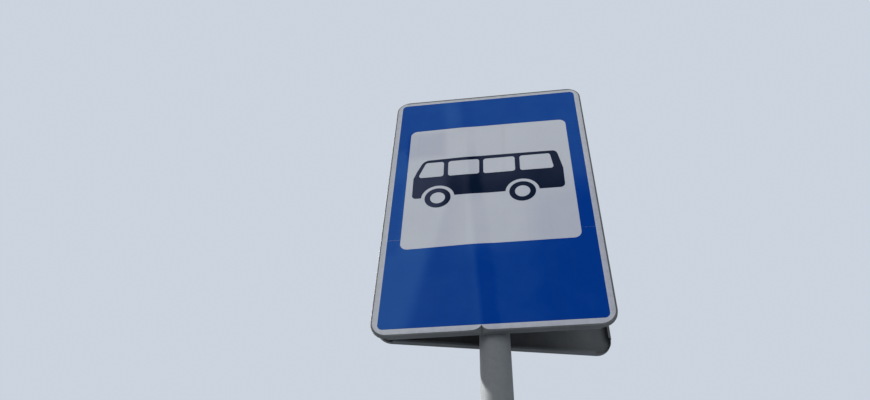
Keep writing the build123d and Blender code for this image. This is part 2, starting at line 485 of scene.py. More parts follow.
class Recipe:
    """One material: layers that are laid over each other and feed a Principled shader."""

    def __init__(self, name: str, roughness: float, metallic: float = 0.0, specular: float = 0.4) -> None:
        """Starts a material.

        Args:
            name: The material's name.
            roughness: Its roughness, before any layer changes it.
            metallic: How far it is bare metal.
            specular: The shader's specular level.
        """
        self.material = bpy.data.materials.new(name)
        self.material.use_nodes = True
        self.tree = self.material.node_tree
        self.tree.nodes.clear()
        self.metallic = metallic
        self.specular = specular
        self.object_place = self.node("ShaderNodeTexCoord", {}).outputs["Object"]
        self.place = self.object_place
        self.colour: object = None
        self.rough: object = roughness
        self.normal: object = None

    def node(self, kind: str, feeds: dict[str | int, object], **options: object) -> Node:
        """Adds a node to the material, as add_node does."""
        return add_node(self.tree, kind, feeds, **options)

    def attribute(self, name: Attribute, output: str = "Fac") -> Socket:
        """Reads what the mesh carries."""
        return self.node("ShaderNodeAttribute", {}, attribute_name=name.value).outputs[output]

    def read_plate(self) -> None:
        """Reads all patterns from here on at the place on the plate that the mesh carries."""
        self.place = self.attribute(Attribute.PLACE, "Vector")

    def noise(self, waves: float | Colour, detail: float, place: object = None) -> Socket:
        """Makes cloudy noise.

        Args:
            waves: Waves to the metre, or three numbers of them for the three axes.
            detail: How much finer noise is in it.
            place: Where it is read, or None for the recipe's own place.

        Returns:
            A value near 0.5.
        """
        place = self.place if place is None else place
        if isinstance(waves, tuple):
            place = self.node("ShaderNodeMapping", {"Vector": place, "Scale": waves}).outputs["Vector"]
            waves = 1.0
        feeds = {"Vector": place, "Scale": waves, "Detail": detail, "Roughness": 0.6}
        return self.node("ShaderNodeTexNoise", feeds).outputs["Fac"]

    def patches(self, kind: Patches, most: float | None = None, place: object = None) -> Socket:
        """Makes cloudy patches.

        Args:
            kind: How large and how strong they are.
            most: How far they cover at most, where it isn't what their kind says.
            place: Where they are read, or None for the recipe's own place.

        Returns:
            How far they cover.
        """
        noise = self.noise(kind.waves, kind.detail, place)
        return self.ramp(noise, kind.start, kind.full, kind.least, kind.most if most is None else most)

    def cells(self, waves: float) -> tuple[Socket, Socket]:
        """Makes crystal-like cells.

        Args:
            waves: Cells to the metre.

        Returns:
            A random grey for each cell, and the distance from its middle.
        """
        cells = self.node("ShaderNodeTexVoronoi", {"Vector": self.place, "Scale": waves}).outputs
        grey = self.node("ShaderNodeSeparateColor", {0: cells["Color"]})
        return grey.outputs[0], cells["Distance"]

    def part(self, vector: Socket, axis: int) -> Socket:
        """Takes one axis of a vector."""
        return self.node("ShaderNodeSeparateXYZ", {0: vector}).outputs[axis]

    def ramp(self, value: object, low: float, high: float, start: float = 0.0, end: float = 1.0) -> Socket:
        """Rises smoothly from start at low to end at high."""
        feeds = dict(enumerate((value, low, high, start, end)))
        return self.node("ShaderNodeMapRange", feeds, interpolation_type="SMOOTHSTEP").outputs[0]

    def reckon(self, operation: str, first: object, second: object = 0.0) -> Socket:
        """Reckons with one or two values."""
        return self.node("ShaderNodeMath", {0: first, 1: second}, operation=operation).outputs[0]

    def mix(self, share: object, first: object, second: object) -> Socket:
        """Mixes two colours."""
        feeds = {0: share, 6: first, 7: second}
        return self.node("ShaderNodeMix", feeds, data_type="RGBA", clamp_factor=True).outputs[2]

    def coat(self, share: object, colour: object) -> None:
        """Lays a colour over what is there, as far as the share says."""
        self.colour = self.mix(share, self.colour, colour)

    def mottle(self, kind: Patches, colour: Colour) -> None:
        """Lays patches over what is there, in their own tone of a colour."""
        self.coat(self.patches(kind), shade(colour, kind.tone))

    def lying(self, start: float, full: float, dust: Patches, least: float = 0.0) -> Socket:
        """Tells how much dust lies on the surface.

        Args:
            start: How far the surface faces up where the dust begins.
            full: How far it does where the dust is full.
            dust: The dust's patches.
            least: The share of them that lies everywhere.

        Returns:
            How far the dust covers.
        """
        facing = self.node("ShaderNodeNewGeometry", {}).outputs["Normal"]
        up = self.ramp(self.part(facing, 2), start, full, least)
        return self.reckon("MULTIPLY", up, self.patches(dust, place=self.object_place))

    def rusted(self, share: Socket, mottle: Patches, roughness: float) -> None:
        """Lays two shades of rust over what is there, and makes it rougher by a roughness."""
        self.coat(share, self.mix(self.patches(mottle), RUST_DARK, RUST))
        self.roughen(self.reckon("MULTIPLY", share, roughness))

    def roughen(self, amount: Socket) -> None:
        """Adds to the roughness, or takes from it."""
        self.rough = self.reckon("ADD", self.rough, amount)

    def bump(self, height: Socket, depth: float) -> None:
        """Tilts the surface as a height of so many millimetres does."""
        under = {} if self.normal is None else {"Normal": self.normal}
        bump = self.node("ShaderNodeBump", {"Height": height, "Distance": depth * MM, **under})
        self.normal = bump.outputs["Normal"]

    def emboss(self, *reliefs: Relief) -> None:
        """Tilts the surface by one relief after another."""
        for relief in reliefs:
            self.bump(self.noise(relief.waves, relief.detail), relief.depth)

    def finish(self) -> Material:
        """Feeds the shader with the layers and hands the material over."""
        feeds = {
            "Base Color": self.colour,
            "Metallic": self.metallic,
            "Roughness": self.rough,
            "Specular IOR Level": self.specular,
            "Normal": self.normal,
        }
        self.shader = self.node("ShaderNodeBsdfPrincipled", feeds)
        self.output = self.node("ShaderNodeOutputMaterial", {"Surface": self.shader.outputs[0]})
        return self.material


def shade(colour: Colour, share: float) -> Colour:
    """Makes a colour darker or lighter by a share."""
    return tuple(min(1.0, part * share) for part in colour)


RUST: Colour = (0.16, 0.072, 0.034)
RUST_DARK: Colour = (0.062, 0.030, 0.018)
DUST: Colour = (0.30, 0.27, 0.22)
RAIN_DIRT: Colour = (0.128, 0.116, 0.096)


@dataclass(frozen=True)
class ZincFinish:
    """Hot-dip zinc, weathered to a matt grey. Colours are linear, lengths millimetres."""

    name: str
    colour: Colour
    crystal: float = 9.0
    crystal_greys: Pair = (0.1, 0.9)
    contrast: float = 0.14
    roughness: float = 0.56
    metallic: float = 0.2
    streaks: float = 0.3
    rust: float = 0.0
    rust_height: float = 60.0
    rust_roughness: float = 0.25
    rust_depth: float = 0.2
    rust_from: Pair = (0.82, 0.90)
    coarse_bite: Pair = (22, 4)
    fine_bite: Pair = (260, 6)
    fine_bite_share: float = 0.42
    low_bite: Pair = (0.05, -0.12)
    stain_from: Pair = (0.70, 0.86)
    stain: Colour = (0.19, 0.135, 0.085)
    stain_share: float = 0.5
    bright_grain: Patches = Patches(700, 6, 0.35, 0.75, 0.35, tone=1.22)
    patina: Patches = Patches(4.5, 5, 0.42, 0.66, 0.5, tone=1.12)
    runs: Patches = Patches((70, 70, 2.4), 5, 0.50, 0.72)
    specks: Patches = Patches(260, 3, 0.66, 0.72, 0.5, tone=0.45)
    dust: Patches = Patches(38, 5, 0.3, 0.62, 0.55)
    dust_facing: Pair = (0.35, 0.9)
    rust_mottle: Patches = Patches(420, 4, 0.4, 0.62)
    rough_grain: Patches = Patches(700, 6, 0.2, 0.8, 0.10, -0.08)
    reliefs: tuple[Relief, ...] = (Relief(700, 6, 0.05), Relief(60, 3, 0.25))

    def material(self) -> Material:
        """Builds the material: crystals, patina, rain streaks, dirt and rust low down."""
        recipe = Recipe(self.name, self.roughness, self.metallic)
        crystals, _ = recipe.cells(1 / (self.crystal * MM))
        dark, light = shade(self.colour, 1 - self.contrast), shade(self.colour, 1 + self.contrast)
        recipe.colour = recipe.mix(recipe.ramp(crystals, *self.crystal_greys), dark, light)
        recipe.mottle(self.bright_grain, self.colour)
        recipe.mottle(self.patina, self.colour)
        recipe.coat(recipe.patches(self.runs, most=self.streaks), RAIN_DIRT)
        recipe.mottle(self.specks, self.colour)
        recipe.coat(recipe.lying(*self.dust_facing, self.dust), DUST)
        recipe.roughen(recipe.patches(self.rough_grain))
        recipe.emboss(*self.reliefs)
        bite = self.bite(recipe)
        recipe.coat(recipe.ramp(bite, *self.stain_from, 0.0, self.stain_share * self.rust), self.stain)
        rust = recipe.ramp(bite, *self.rust_from, 0.0, self.rust)
        recipe.rusted(rust, self.rust_mottle, self.rust_roughness)
        recipe.bump(rust, self.rust_depth)
        return recipe.finish()

    def bite(self, recipe: Recipe) -> Socket:
        """Tells how near the zinc is to rusting, nearest low down."""
        fine = recipe.reckon("MULTIPLY", recipe.noise(*self.fine_bite), self.fine_bite_share)
        coarse = recipe.reckon("ADD", recipe.noise(*self.coarse_bite), fine)
        low = recipe.ramp(recipe.part(recipe.place, 2), 0.0, self.rust_height * MM, *self.low_bite)
        return recipe.reckon("ADD", coarse, low)


@dataclass(frozen=True)
class SheetingFinish:
    """Reflective film for signs, some years old. Colours are linear, lengths millimetres."""

    name: str
    colour: Colour
    hazed_and_sheen: Colour
    dirt: Colour = (0.13, 0.115, 0.09)
    roughness: float = 0.36
    specular: float = 0.02
    most_haze_and_sheen: float = 1.0
    late_haze_and_sheen: float = 1.0
    haze_roughness: float = 0.12
    border_grime: float = 0.16
    grime_inset: Pair = (30.0, 5.5)
    # painted shade: a dark line along the film's top edge
    painted_edge_shade: float = 0.0
    edge_shade_tone: float = 0.5
    edge_shade_inset: Pair = (8.5, 6.5)
    cloud: Patches = Patches(9, 5, 0.30, 0.70, 0.07, -0.07)
    runs: Patches = Patches((34, 1, 1.1), 5, 0.52, 0.78, 0.06)
    blotches: Patches = Patches(48, 6, 0.30, 0.68, 1.0, 0.35)
    specks: Patches = Patches(420, 2, 0.72, 0.76, 0.45)
    rough_cloud: Patches = Patches(9, 5, 0.3, 0.7, 0.06, -0.05)
    reliefs: tuple[Relief, ...] = (Relief(1500, 3, 0.004), Relief(38, 3, 0.05))

    def material(self) -> Material:
        """Builds the material: hazing that is partly chalk and partly painted sheen, mottling, faint rain
        runs, specks, edge grime and a painted shade line along the top edge.
        """
        recipe = Recipe(self.name, self.roughness, specular=self.specular)
        recipe.read_plate()
        # chalk hazing, partly painted sheen that stands in for reflections off the tilted film
        haze = recipe.reckon("MINIMUM", recipe.attribute(Attribute.HAZE), self.most_haze_and_sheen)
        haze = recipe.reckon("POWER", haze, self.late_haze_and_sheen)
        haze = recipe.reckon("ADD", haze, recipe.patches(self.cloud))
        recipe.colour = recipe.mix(haze, self.colour, self.hazed_and_sheen)
        recipe.mottle(self.runs, self.dirt)
        recipe.coat(self.grime(recipe), self.dirt)
        # painted shade: a dark line along the top edge of the film
        line = self.near_edge(recipe, recipe.part(recipe.place, 2), PLATE_HEIGHT, self.edge_shade_inset)
        recipe.coat(recipe.reckon("MULTIPLY", line, self.painted_edge_shade), shade(self.dirt, self.edge_shade_tone))
        recipe.mottle(self.specks, self.dirt)
        recipe.roughen(recipe.patches(self.rough_cloud))
        recipe.roughen(recipe.reckon("MULTIPLY", haze, self.haze_roughness))
        recipe.emboss(*self.reliefs)
        return recipe.finish()

    def near_edge(self, recipe: Recipe, off_middle: object, length: float, inset: Pair) -> Socket:
        """Tells how near a place is to the plate's edge.

        Args:
            recipe: The recipe that is fed.
            off_middle: How far the place is from the plate's middle.
            length: The plate's length that way.
            inset: Where the nearness begins and where it is full, from the edge.

        Returns:
            How near it is, from 0 to 1.
        """
        start, full = inset
        return recipe.ramp(off_middle, (length / 2 - start) * MM, (length / 2 - full) * MM)

    def grime(self, recipe: Recipe) -> Socket:
        """Tells how far grime covers the film, in blotches along the plate's edges.

        Args:
            recipe: The recipe that is fed.

        Returns:
            The share that it covers.
        """
        nears = []
        for axis, length in ((0, PLATE_WIDTH), (2, PLATE_HEIGHT)):
            off_middle = recipe.reckon("ABSOLUTE", recipe.part(recipe.place, axis))
            nears.append(self.near_edge(recipe, off_middle, length, self.grime_inset))
        edge = recipe.reckon("MAXIMUM", *nears)
        blotched = recipe.reckon("MULTIPLY", edge, recipe.patches(self.blotches))
        return recipe.reckon("MULTIPLY", blotched, self.border_grime)


@dataclass(frozen=True)
class CoatedSteelFinish:
    """Thin grey coating on sheet steel, scuffed bright at its folds. Colours are linear."""

    name: str
    colour: Colour = (0.083, 0.089, 0.094)
    bare: Colour = (0.22, 0.22, 0.215)
    bare_share: float = 0.15
    roughness: float = 0.62
    specular: float = 0.2
    rust: float = 0.85
    rust_roughness: float = 0.3
    rust_at_folds: float = 0.08
    rust_from: Pair = (0.71, 0.78)
    bite: Pair = (210, 5)
    dark: float = 0.86
    clouds: Patches = Patches(7, 5, 0.36, 0.66, tone=1.14)
    runs: Patches = Patches((80, 40, 3), 5, 0.52, 0.72, 0.45, tone=0.35)
    scratches: Patches = Patches((300, 300, 420), 6, 0.48, 0.66)
    rough_scratches: Patches = Patches((300, 300, 420), 6, 0.3, 0.7, 0.1, -0.07)
    dust: Patches = Patches(50, 5, 0.3, 0.6, 0.4)
    dust_facing: Pair = (0.97, 0.999)
    rust_mottle: Patches = Patches(500, 3, 0.4, 0.6)
    grain: Relief = Relief(900, 4, 0.02)
    scuff_depth: float = 0.03
    dents: Relief = Relief(24, 3, 0.3)

    def material(self) -> Material:
        """Builds the material: grain, dust above, runs, scuffed folds and rust specks."""
        recipe = Recipe(self.name, self.roughness, specular=self.specular)
        recipe.read_plate()
        wear = recipe.attribute(Attribute.WEAR)
        recipe.colour = shade(self.colour, self.dark)
        recipe.mottle(self.clouds, self.colour)
        recipe.mottle(self.runs, DUST)
        scuff = recipe.reckon("MULTIPLY", wear, recipe.patches(self.scratches))
        recipe.coat(recipe.reckon("MULTIPLY", scuff, self.bare_share), self.bare)
        recipe.coat(recipe.lying(*self.dust_facing, self.dust), DUST)
        at_folds = recipe.reckon("MULTIPLY", wear, self.rust_at_folds)
        bite = recipe.reckon("ADD", recipe.noise(*self.bite), at_folds)
        rust = recipe.ramp(bite, *self.rust_from, 0.0, self.rust)
        recipe.rusted(rust, self.rust_mottle, self.rust_roughness)
        recipe.roughen(recipe.patches(self.rough_scratches))
        recipe.emboss(self.grain)
        recipe.bump(scuff, self.scuff_depth)
        recipe.emboss(self.dents)
        return recipe.finish()


@dataclass(frozen=True)
class MouldedFinish:
    """Black moulded plastic that the sun has greyed. Colours are linear."""

    name: str
    colour: Colour = (0.020, 0.021, 0.023)
    greyed: Colour = (0.085, 0.085, 0.085)
    roughness: float = 0.55
    greying: Patches = Patches(55, 5, 0.25, 0.65, 0.8)
    greying_facing: Pair = (0.2, 1.0)
    greying_least: float = 0.125
    dust: Patches = Patches(320, 3, 0.62, 0.7, 0.5)
    rough_patches: Patches = Patches(90, 4, 0.3, 0.7, 0.12, -0.08)
    grains: float = 1300.0
    grain_depth: float = 0.03

    def material(self) -> Material:
        """Builds the material: moulded grain, greyed and dusty above."""
        recipe = Recipe(self.name, self.roughness)
        recipe.colour = self.colour
        greying = recipe.lying(*self.greying_facing, self.greying, self.greying_least)
        recipe.coat(greying, self.greyed)
        recipe.mottle(self.dust, DUST)
        recipe.roughen(recipe.patches(self.rough_patches))
        _, distance = recipe.cells(self.grains)
        recipe.bump(distance, self.grain_depth)
        return recipe.finish()


class Slot(str, Enum):
    """The slots, one for each finish."""

    POST_ZINC = "post_zinc"
    FOOT_ZINC = "foot_zinc"
    CAP_PLASTIC = "cap_plastic"
    PLATE_STEEL = "plate_steel"
    RAIL_STEEL = "rail_steel"
    STRAP_STEEL = "strap_steel"
    BOLT_ZINC = "bolt_zinc"
    WHITE_FILM = "white_film"
    BLUE_FILM = "blue_film"
    BLACK_FILM = "black_film"


FINISHES = {
    Slot.POST_ZINC: ZincFinish(
        "post zinc", (0.112, 0.122, 0.130), contrast=0.04, roughness=0.7, metallic=0.0, streaks=0.18
    ),
    Slot.FOOT_ZINC: ZincFinish("foot zinc", (0.21, 0.212, 0.205), streaks=0.4, rust=0.75, rust_height=110),
    Slot.CAP_PLASTIC: MouldedFinish("cap plastic"),
    Slot.PLATE_STEEL: CoatedSteelFinish("plate steel"),
    Slot.RAIL_STEEL: ZincFinish("rail zinc", (0.20, 0.202, 0.20), crystal=5.0, metallic=0.4),
    Slot.STRAP_STEEL: ZincFinish(
        "strap zinc", (0.19, 0.19, 0.188), crystal=6.0, metallic=0.4, roughness=0.5
    ),
    Slot.BOLT_ZINC: ZincFinish("bolt zinc", (0.27, 0.26, 0.22), crystal=3.0, metallic=0.55, roughness=0.42),
    Slot.WHITE_FILM: SheetingFinish(
        "white sheeting",
        (0.394, 0.414, 0.482),
        (0.517, 0.540, 0.568),
        most_haze_and_sheen=0.52,
        border_grime=0.27,
        painted_edge_shade=0.8,
    ),
    Slot.BLUE_FILM: SheetingFinish(
        "blue sheeting", (0.0, 0.034, 0.230), (0.021, 0.087, 0.302), (0.02, 0.035, 0.06)
    ),
    Slot.BLACK_FILM: SheetingFinish(
        "black sheeting",
        (0.001, 0.006, 0.021),
        (0.036, 0.0425, 0.080),
        (0.035, 0.033, 0.03),
        late_haze_and_sheen=1.45,
    ),
}


class Paintbox:
    """Every finish of the sign, mixed once."""

    def __init__(self) -> None:
        """Builds all the materials."""
        self.materials = {slot: finish.material() for slot, finish in FINISHES.items()}

    def dress(self, piece: Piece, slot: Slot, *nodes: str) -> None:
        """Gives a finished piece its slot's material and its body, and reports it.

        Args:
            piece: The piece.
            slot: The slot of its finish.
            nodes: The solids that it stands for.
        """
        piece.data.materials.clear()
        piece.data.materials.append(self.materials[slot])
        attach(piece, BODY)
        if nodes:
            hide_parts(*nodes)
        log.info("%s: %d faces", piece.name, len(piece.data.polygons))


@dataclass
class Assembly:
    """A part of the sign, which is dressed with its finishes."""

    paints: Paintbox


# Camera and studio


@dataclass(frozen=True)
class PhotoCamera:
    """The viewpoint from which the sign is seen, in metres and degrees."""

    place: Spot = (0.0905, -1.3844, 1.1735)
    pan: float = 7.365
    tilt: float = 43.337
    roll: float = 0.019
    focal_length: float = 26.772
    sensor: float = 36.0
    shift_right: float = -0.0276

    def build(self) -> None:
        """Makes the camera and lets the scene use it."""
        lens = bpy.data.cameras.new("photo camera")
        lens.lens = self.focal_length
        lens.sensor_width = self.sensor
        lens.shift_x = self.shift_right
        lens.clip_start = 0.01
        camera = linked("photo_camera", lens)
        upright = Matrix.Rotation(math.radians(self.pan), 4, "Z")
        raised = Matrix.Rotation(math.radians(90 + self.tilt), 4, "X")
        turned = Matrix.Rotation(math.radians(self.roll), 4, "Z")
        camera.matrix_world = Matrix.Translation(self.place) @ upright @ raised @ turned
        bpy.context.scene.camera = camera


@dataclass(frozen=True)
class Lamp:
    """A soft square lamp, or a round one with a narrow beam, in metres and watts."""

    name: str
    place: Spot
    aim: Spot
    size: float
    power: float
    colour: Colour = (1.0, 1.0, 1.0)
    beam: float = 0.0
    beam_blend: float = 0.7

    def build(self) -> None:
        """Makes the lamp and points it at its aim."""
        light = bpy.data.lights.new(self.name, "SPOT" if self.beam else "AREA")
        if self.beam:
            light.spot_size = math.radians(self.beam)
            light.spot_blend = self.beam_blend
            light.shadow_soft_size = self.size
        else:
            light.shape = "SQUARE"
            light.size = self.size
        light.energy = self.power
        light.color = self.colour
        lamp = linked(self.name, light)
        lamp.location = self.place
        towards = Vector(self.aim) - Vector(self.place)
        lamp.rotation_mode = "QUATERNION"
        lamp.rotation_quaternion = towards.to_track_quat("-Z", "Y")


@dataclass(frozen=True)
class Studio:
    """Pale floor, pale surroundings and soft lamps. Lengths are metres, colours linear."""

    surroundings: Colour = (0.60, 0.655, 0.735)
    fill: Colour = (0.96, 0.98, 1.0)
    fill_strength: float = 0.45
    floor_size: float = 9.0
    floor_near: float = 0.5
    floor_far: float = 1.6
    floor_drop: float = 0.5
    floor_colour: Colour = (0.66, 0.705, 0.765)
    floor_dark: float = 0.97
    floor_roughness: float = 0.9
    floor_specular: float = 0.2
    floor_clouds: Patches = Patches(1.3, 4, 0.3, 0.7, tone=1.03)
    floor_relief: Relief = Relief(90, 3, 0.2)
    contact: float = 4.0
    lamps: tuple[Lamp, ...] = (
        Lamp("key lamp", (-3.4, -3.6, 4.9), (0.0, 0.0, 2.3), 2.6, 125.0, (1.0, 0.985, 0.96)),
        Lamp("side lamp", (3.2, -3.4, 2.6), (0.0, 0.0, 1.8), 3.0, 60.0, (0.94, 0.97, 1.0)),
        Lamp("back key lamp", (0.4, 5.0, 4.9), (0.0, 0.0, 2.3), 2.6, 32.0, (1.0, 0.985, 0.96)),
        Lamp("back side lamp", (-3.6, 2.6, 2.6), (0.0, 0.0, 1.8), 3.0, 40.0, (0.94, 0.97, 1.0)),
        Lamp("low sun", (-5.25, 0.88, 5.55), (0.0, 0.0, 2.25), 0.09, 4300.0, (1.0, 0.985, 0.96), beam=18.0),
    )

    def build(self) -> None:
        """Makes the world, the lamps and the floor."""
        bpy.context.scene.view_settings.view_transform = "Standard"
        self.light_world()
        for lamp in self.lamps:
            lamp.build()
        self.lay_floor()

    def blend(self, tree: NodeTree, share: Socket, *shaders: Node) -> Node:
        """Mixes what two shaders give, with as much of the second as the share says."""
        first, second = (shader.outputs[0] for shader in shaders)
        return add_node(tree, "ShaderNodeMixShader", {0: share, 1: first, 2: second})

    def light_world(self) -> None:
        """Fills the world: even light on the object, pale surroundings to the eye."""
        world = bpy.data.worlds.new("studio")
        bpy.context.scene.world = world
        world.use_nodes = True
        tree = world.node_tree
        tree.nodes.clear()
        lights = [
            add_node(tree, "ShaderNodeBackground", {"Color": colour, "Strength": strength})
            for colour, strength in ((self.fill, self.fill_strength), (self.surroundings, 1.0))
        ]
        lit = self.blend(tree, self.seen_share(tree), *lights)
        add_node(tree, "ShaderNodeOutputWorld", {"Surface": lit.outputs[0]})

    def seen_share(self, tree: NodeTree) -> Socket:
        """Is 1 for rays from the camera, off gloss and through clear matter, and 0 for the rest.

        Args:
            tree: The tree that is fed.

        Returns:
            The share.
        """
        path = add_node(tree, "ShaderNodeLightPath", {}).outputs
        seen = path["Is Camera Ray"]
        for name in ("Is Glossy Ray", "Is Transmission Ray"):
            feeds = {0: seen, 1: path[name]}
            seen = add_node(tree, "ShaderNodeMath", feeds, operation="MAXIMUM").outputs[0]
        return seen

    def lay_floor(self) -> None:
        """Lays a pale floor that fades into the surroundings.

        It can't be seen from below, nor does it darken what stands on it from there.
        """
        ring = level(circle(0, 0, self.floor_size / MM), -self.floor_drop)
        floor = make_object("floor", ring, [tuple(range(len(ring)))], closed=False)
        recipe = Recipe("floor", self.floor_roughness, specular=self.floor_specular)
        recipe.colour = shade(self.floor_colour, self.floor_dark)
        recipe.mottle(self.floor_clouds, self.floor_colour)
        recipe.emboss(self.floor_relief)
        floor.data.materials.append(recipe.finish())
        tree = recipe.tree
        length = recipe.node("ShaderNodeVectorMath", {0: recipe.object_place}, operation="LENGTH")
        far = recipe.ramp(length.outputs["Value"], self.floor_near, self.floor_far)
        far = recipe.reckon("MULTIPLY", far, self.seen_share(tree))
        glow = recipe.node("ShaderNodeEmission", {"Color": self.surroundings})
        reach = recipe.node("ShaderNodeLightPath", {}).outputs["Ray Length"]
        touching = recipe.reckon("LESS_THAN", reach, self.contact * MM)
        below = recipe.node("ShaderNodeNewGeometry", {}).outputs["Backfacing"]
        unseen = recipe.reckon("MAXIMUM", below, touching)
        faded = self.blend(tree, far, recipe.shader, glow)
        sided = self.blend(tree, unseen, faded, recipe.node("ShaderNodeBsdfTransparent", {}))
        tree.links.new(sided.outputs[0], recipe.output.inputs["Surface"])


# Sign plates


@dataclass(frozen=True)
class SheetShape:
    """How a plate's sheet has left the flat: waves, and on the front one a crease and a kink."""

    rail_height: float
    creased: bool = True
    wave_depth: float = 0.7
    wave_phase: float = 0.0
    phase_shares: Pair = (1.7, 2.1)
    swell_middle: float = 0.55
    swell_share: float = 0.5
    swell_most: float = 2.0
    long_wave: Pair = (83.0, 97.0)
    short_wave: Pair = (47.0, 61.0)
    short_share: float = 0.6
    flat_at_edge: Pair = (3.0, 70.0)
    flat_at_rail: Pair = (22.0, 90.0)
    crease_low: float = -24.0
    crease_high: float = -93.0
    crease_from: float = -445.0
    crease_to: float = 390.0
    crease_margin: float = 3.0
    crease_ends: Spot = (60.0, 90.0, 60.0)
    ridge: float = 1.3
    ridge_round: float = 5.0
    ridge_left: float = 120.0
    ridge_right: float = 38.0
    dip: float = 0.5
    dip_from: float = 57.0
    dip_to: float = 190.0
    kink_height: float = 14.3
    kink_left: float = 8.0
    kink_right: float = 6.0
    kink_foot: float = 40.0
    kink_depth: float = 0.9
    kink_back: float = 0.45
    kink_lift: float = 0.5
    kink_least: float = 0.05

    def crease_x(self, up: Array) -> Array:
        """Gives where the crease lies across the plate at a height."""
        share = (up - self.crease_from) / (self.crease_to - self.crease_from)
        return self.crease_low + (self.crease_high - self.crease_low) * share

    def notch(self, across: Array) -> Array:
        """Gives how far the kink draws the film's lower edge up, baring the dark steel, which is partly
        torn film and partly painted shade on the kink's downward face.

        Args:
            across: The points' places across the plate.

        Returns:
            A height for each point.
        """
        if not self.creased:
            return np.zeros_like(across)
        past = across - self.crease_low
        reach = np.where(past < 0, self.kink_left, self.kink_right)
        return self.kink_height * np.exp(-np.abs(past) / reach)

    def waves(self, across: Array, up: Array) -> Array:
        """Gives how far gentle waves stand proud of the face, which its edges and rails hold flat.

        Args:
            across: The points' places across the plate.
            up: Their heights from the plate's middle.

        Returns:
            A height for each point.
        """
        edge = np.minimum(PLATE_WIDTH / 2 - np.abs(across), PLATE_HEIGHT / 2 - np.abs(up))
        off_rails = smooth(np.abs(np.abs(up) - self.rail_height), *self.flat_at_rail)
        phase = self.wave_phase
        long_phase, short_phase = (share * phase for share in self.phase_shares)
        wide, high = self.long_wave
        wave = np.sin(across / wide + phase) * np.sin(up / high + long_phase)
        wide, high = self.short_wave
        wave += self.short_share * np.sin(across / wide - short_phase) * np.cos(up / high + phase)
        swell = np.clip(self.swell_middle + self.swell_share * wave, 0.0, self.swell_most)
        return self.wave_depth * smooth(edge, *self.flat_at_edge) * off_rails * swell

    def crease(self, across: Array, up: Array) -> Array:
        """Gives how far the crease stands proud of the face, and the dip that runs beside it.

        Args:
            across: The points' places across the plate.
            up: Their heights from the plate's middle.

        Returns:
            A height for each point.
        """
        past = across - self.crease_x(up)
        off_ridge = np.sqrt(past**2 + self.ridge_round**2) - self.ridge_round
        left = np.clip(1 - off_ridge / self.ridge_left, 0, 1)
        right = np.maximum(1 - off_ridge / self.ridge_right, -self.dip)
        far = -self.dip * (1 - smooth(past, self.dip_from, self.dip_to))
        height = np.where(past < 0, left, np.where(past > self.dip_from, far, right))
        margin = self.crease_margin
        side, top, bottom = self.crease_ends
        fade = smooth(PLATE_HEIGHT / 2 - up, margin, top) * smooth(up + PLATE_HEIGHT / 2, margin, bottom)
        return self.ridge * height * fade * smooth(PLATE_WIDTH / 2 - np.abs(across), margin, side)

    def kink(self, across: Array, depth: Array, up: Array) -> Array:
        """Gives how far the kink pushes the lower fold flat.

        Args:
            across: The points' places across the plate.
            depth: Their depths behind the face.
            up: Their heights from the plate's middle.

        Returns:
            A distance for each point.
        """
        foot = FILM_INSET * bell(across, self.crease_low, self.kink_foot)
        reach = self.notch(across) + foot
        held = np.maximum(reach, TINY)
        share = (up + PLATE_HEIGHT / 2) / held + depth / np.maximum(held * self.kink_depth, TINY)
        return np.where(reach > self.kink_least, np.clip(1 - share, 0.0, 1.0), 0.0) * reach

    def shift(self, across: Array, depth: Array, up: Array) -> Array:
        """Works out how far points of the sheet have moved.

        Args:
            across: The points' places across the plate.
            depth: Their depths behind the face.
            up: Their heights from the plate's middle.

        Returns:
            One row of shifts across, back and up for each point.
        """
        on_face = depth < TINY
        back = -self.waves(across, up) * on_face
        lift = np.zeros_like(back)
        if self.creased:
            push = self.kink(across, depth, up)
            back += self.kink_back * push - self.crease(across, up) * on_face
            lift += self.kink_lift * push
        return np.column_stack((np.zeros_like(back), back, lift))


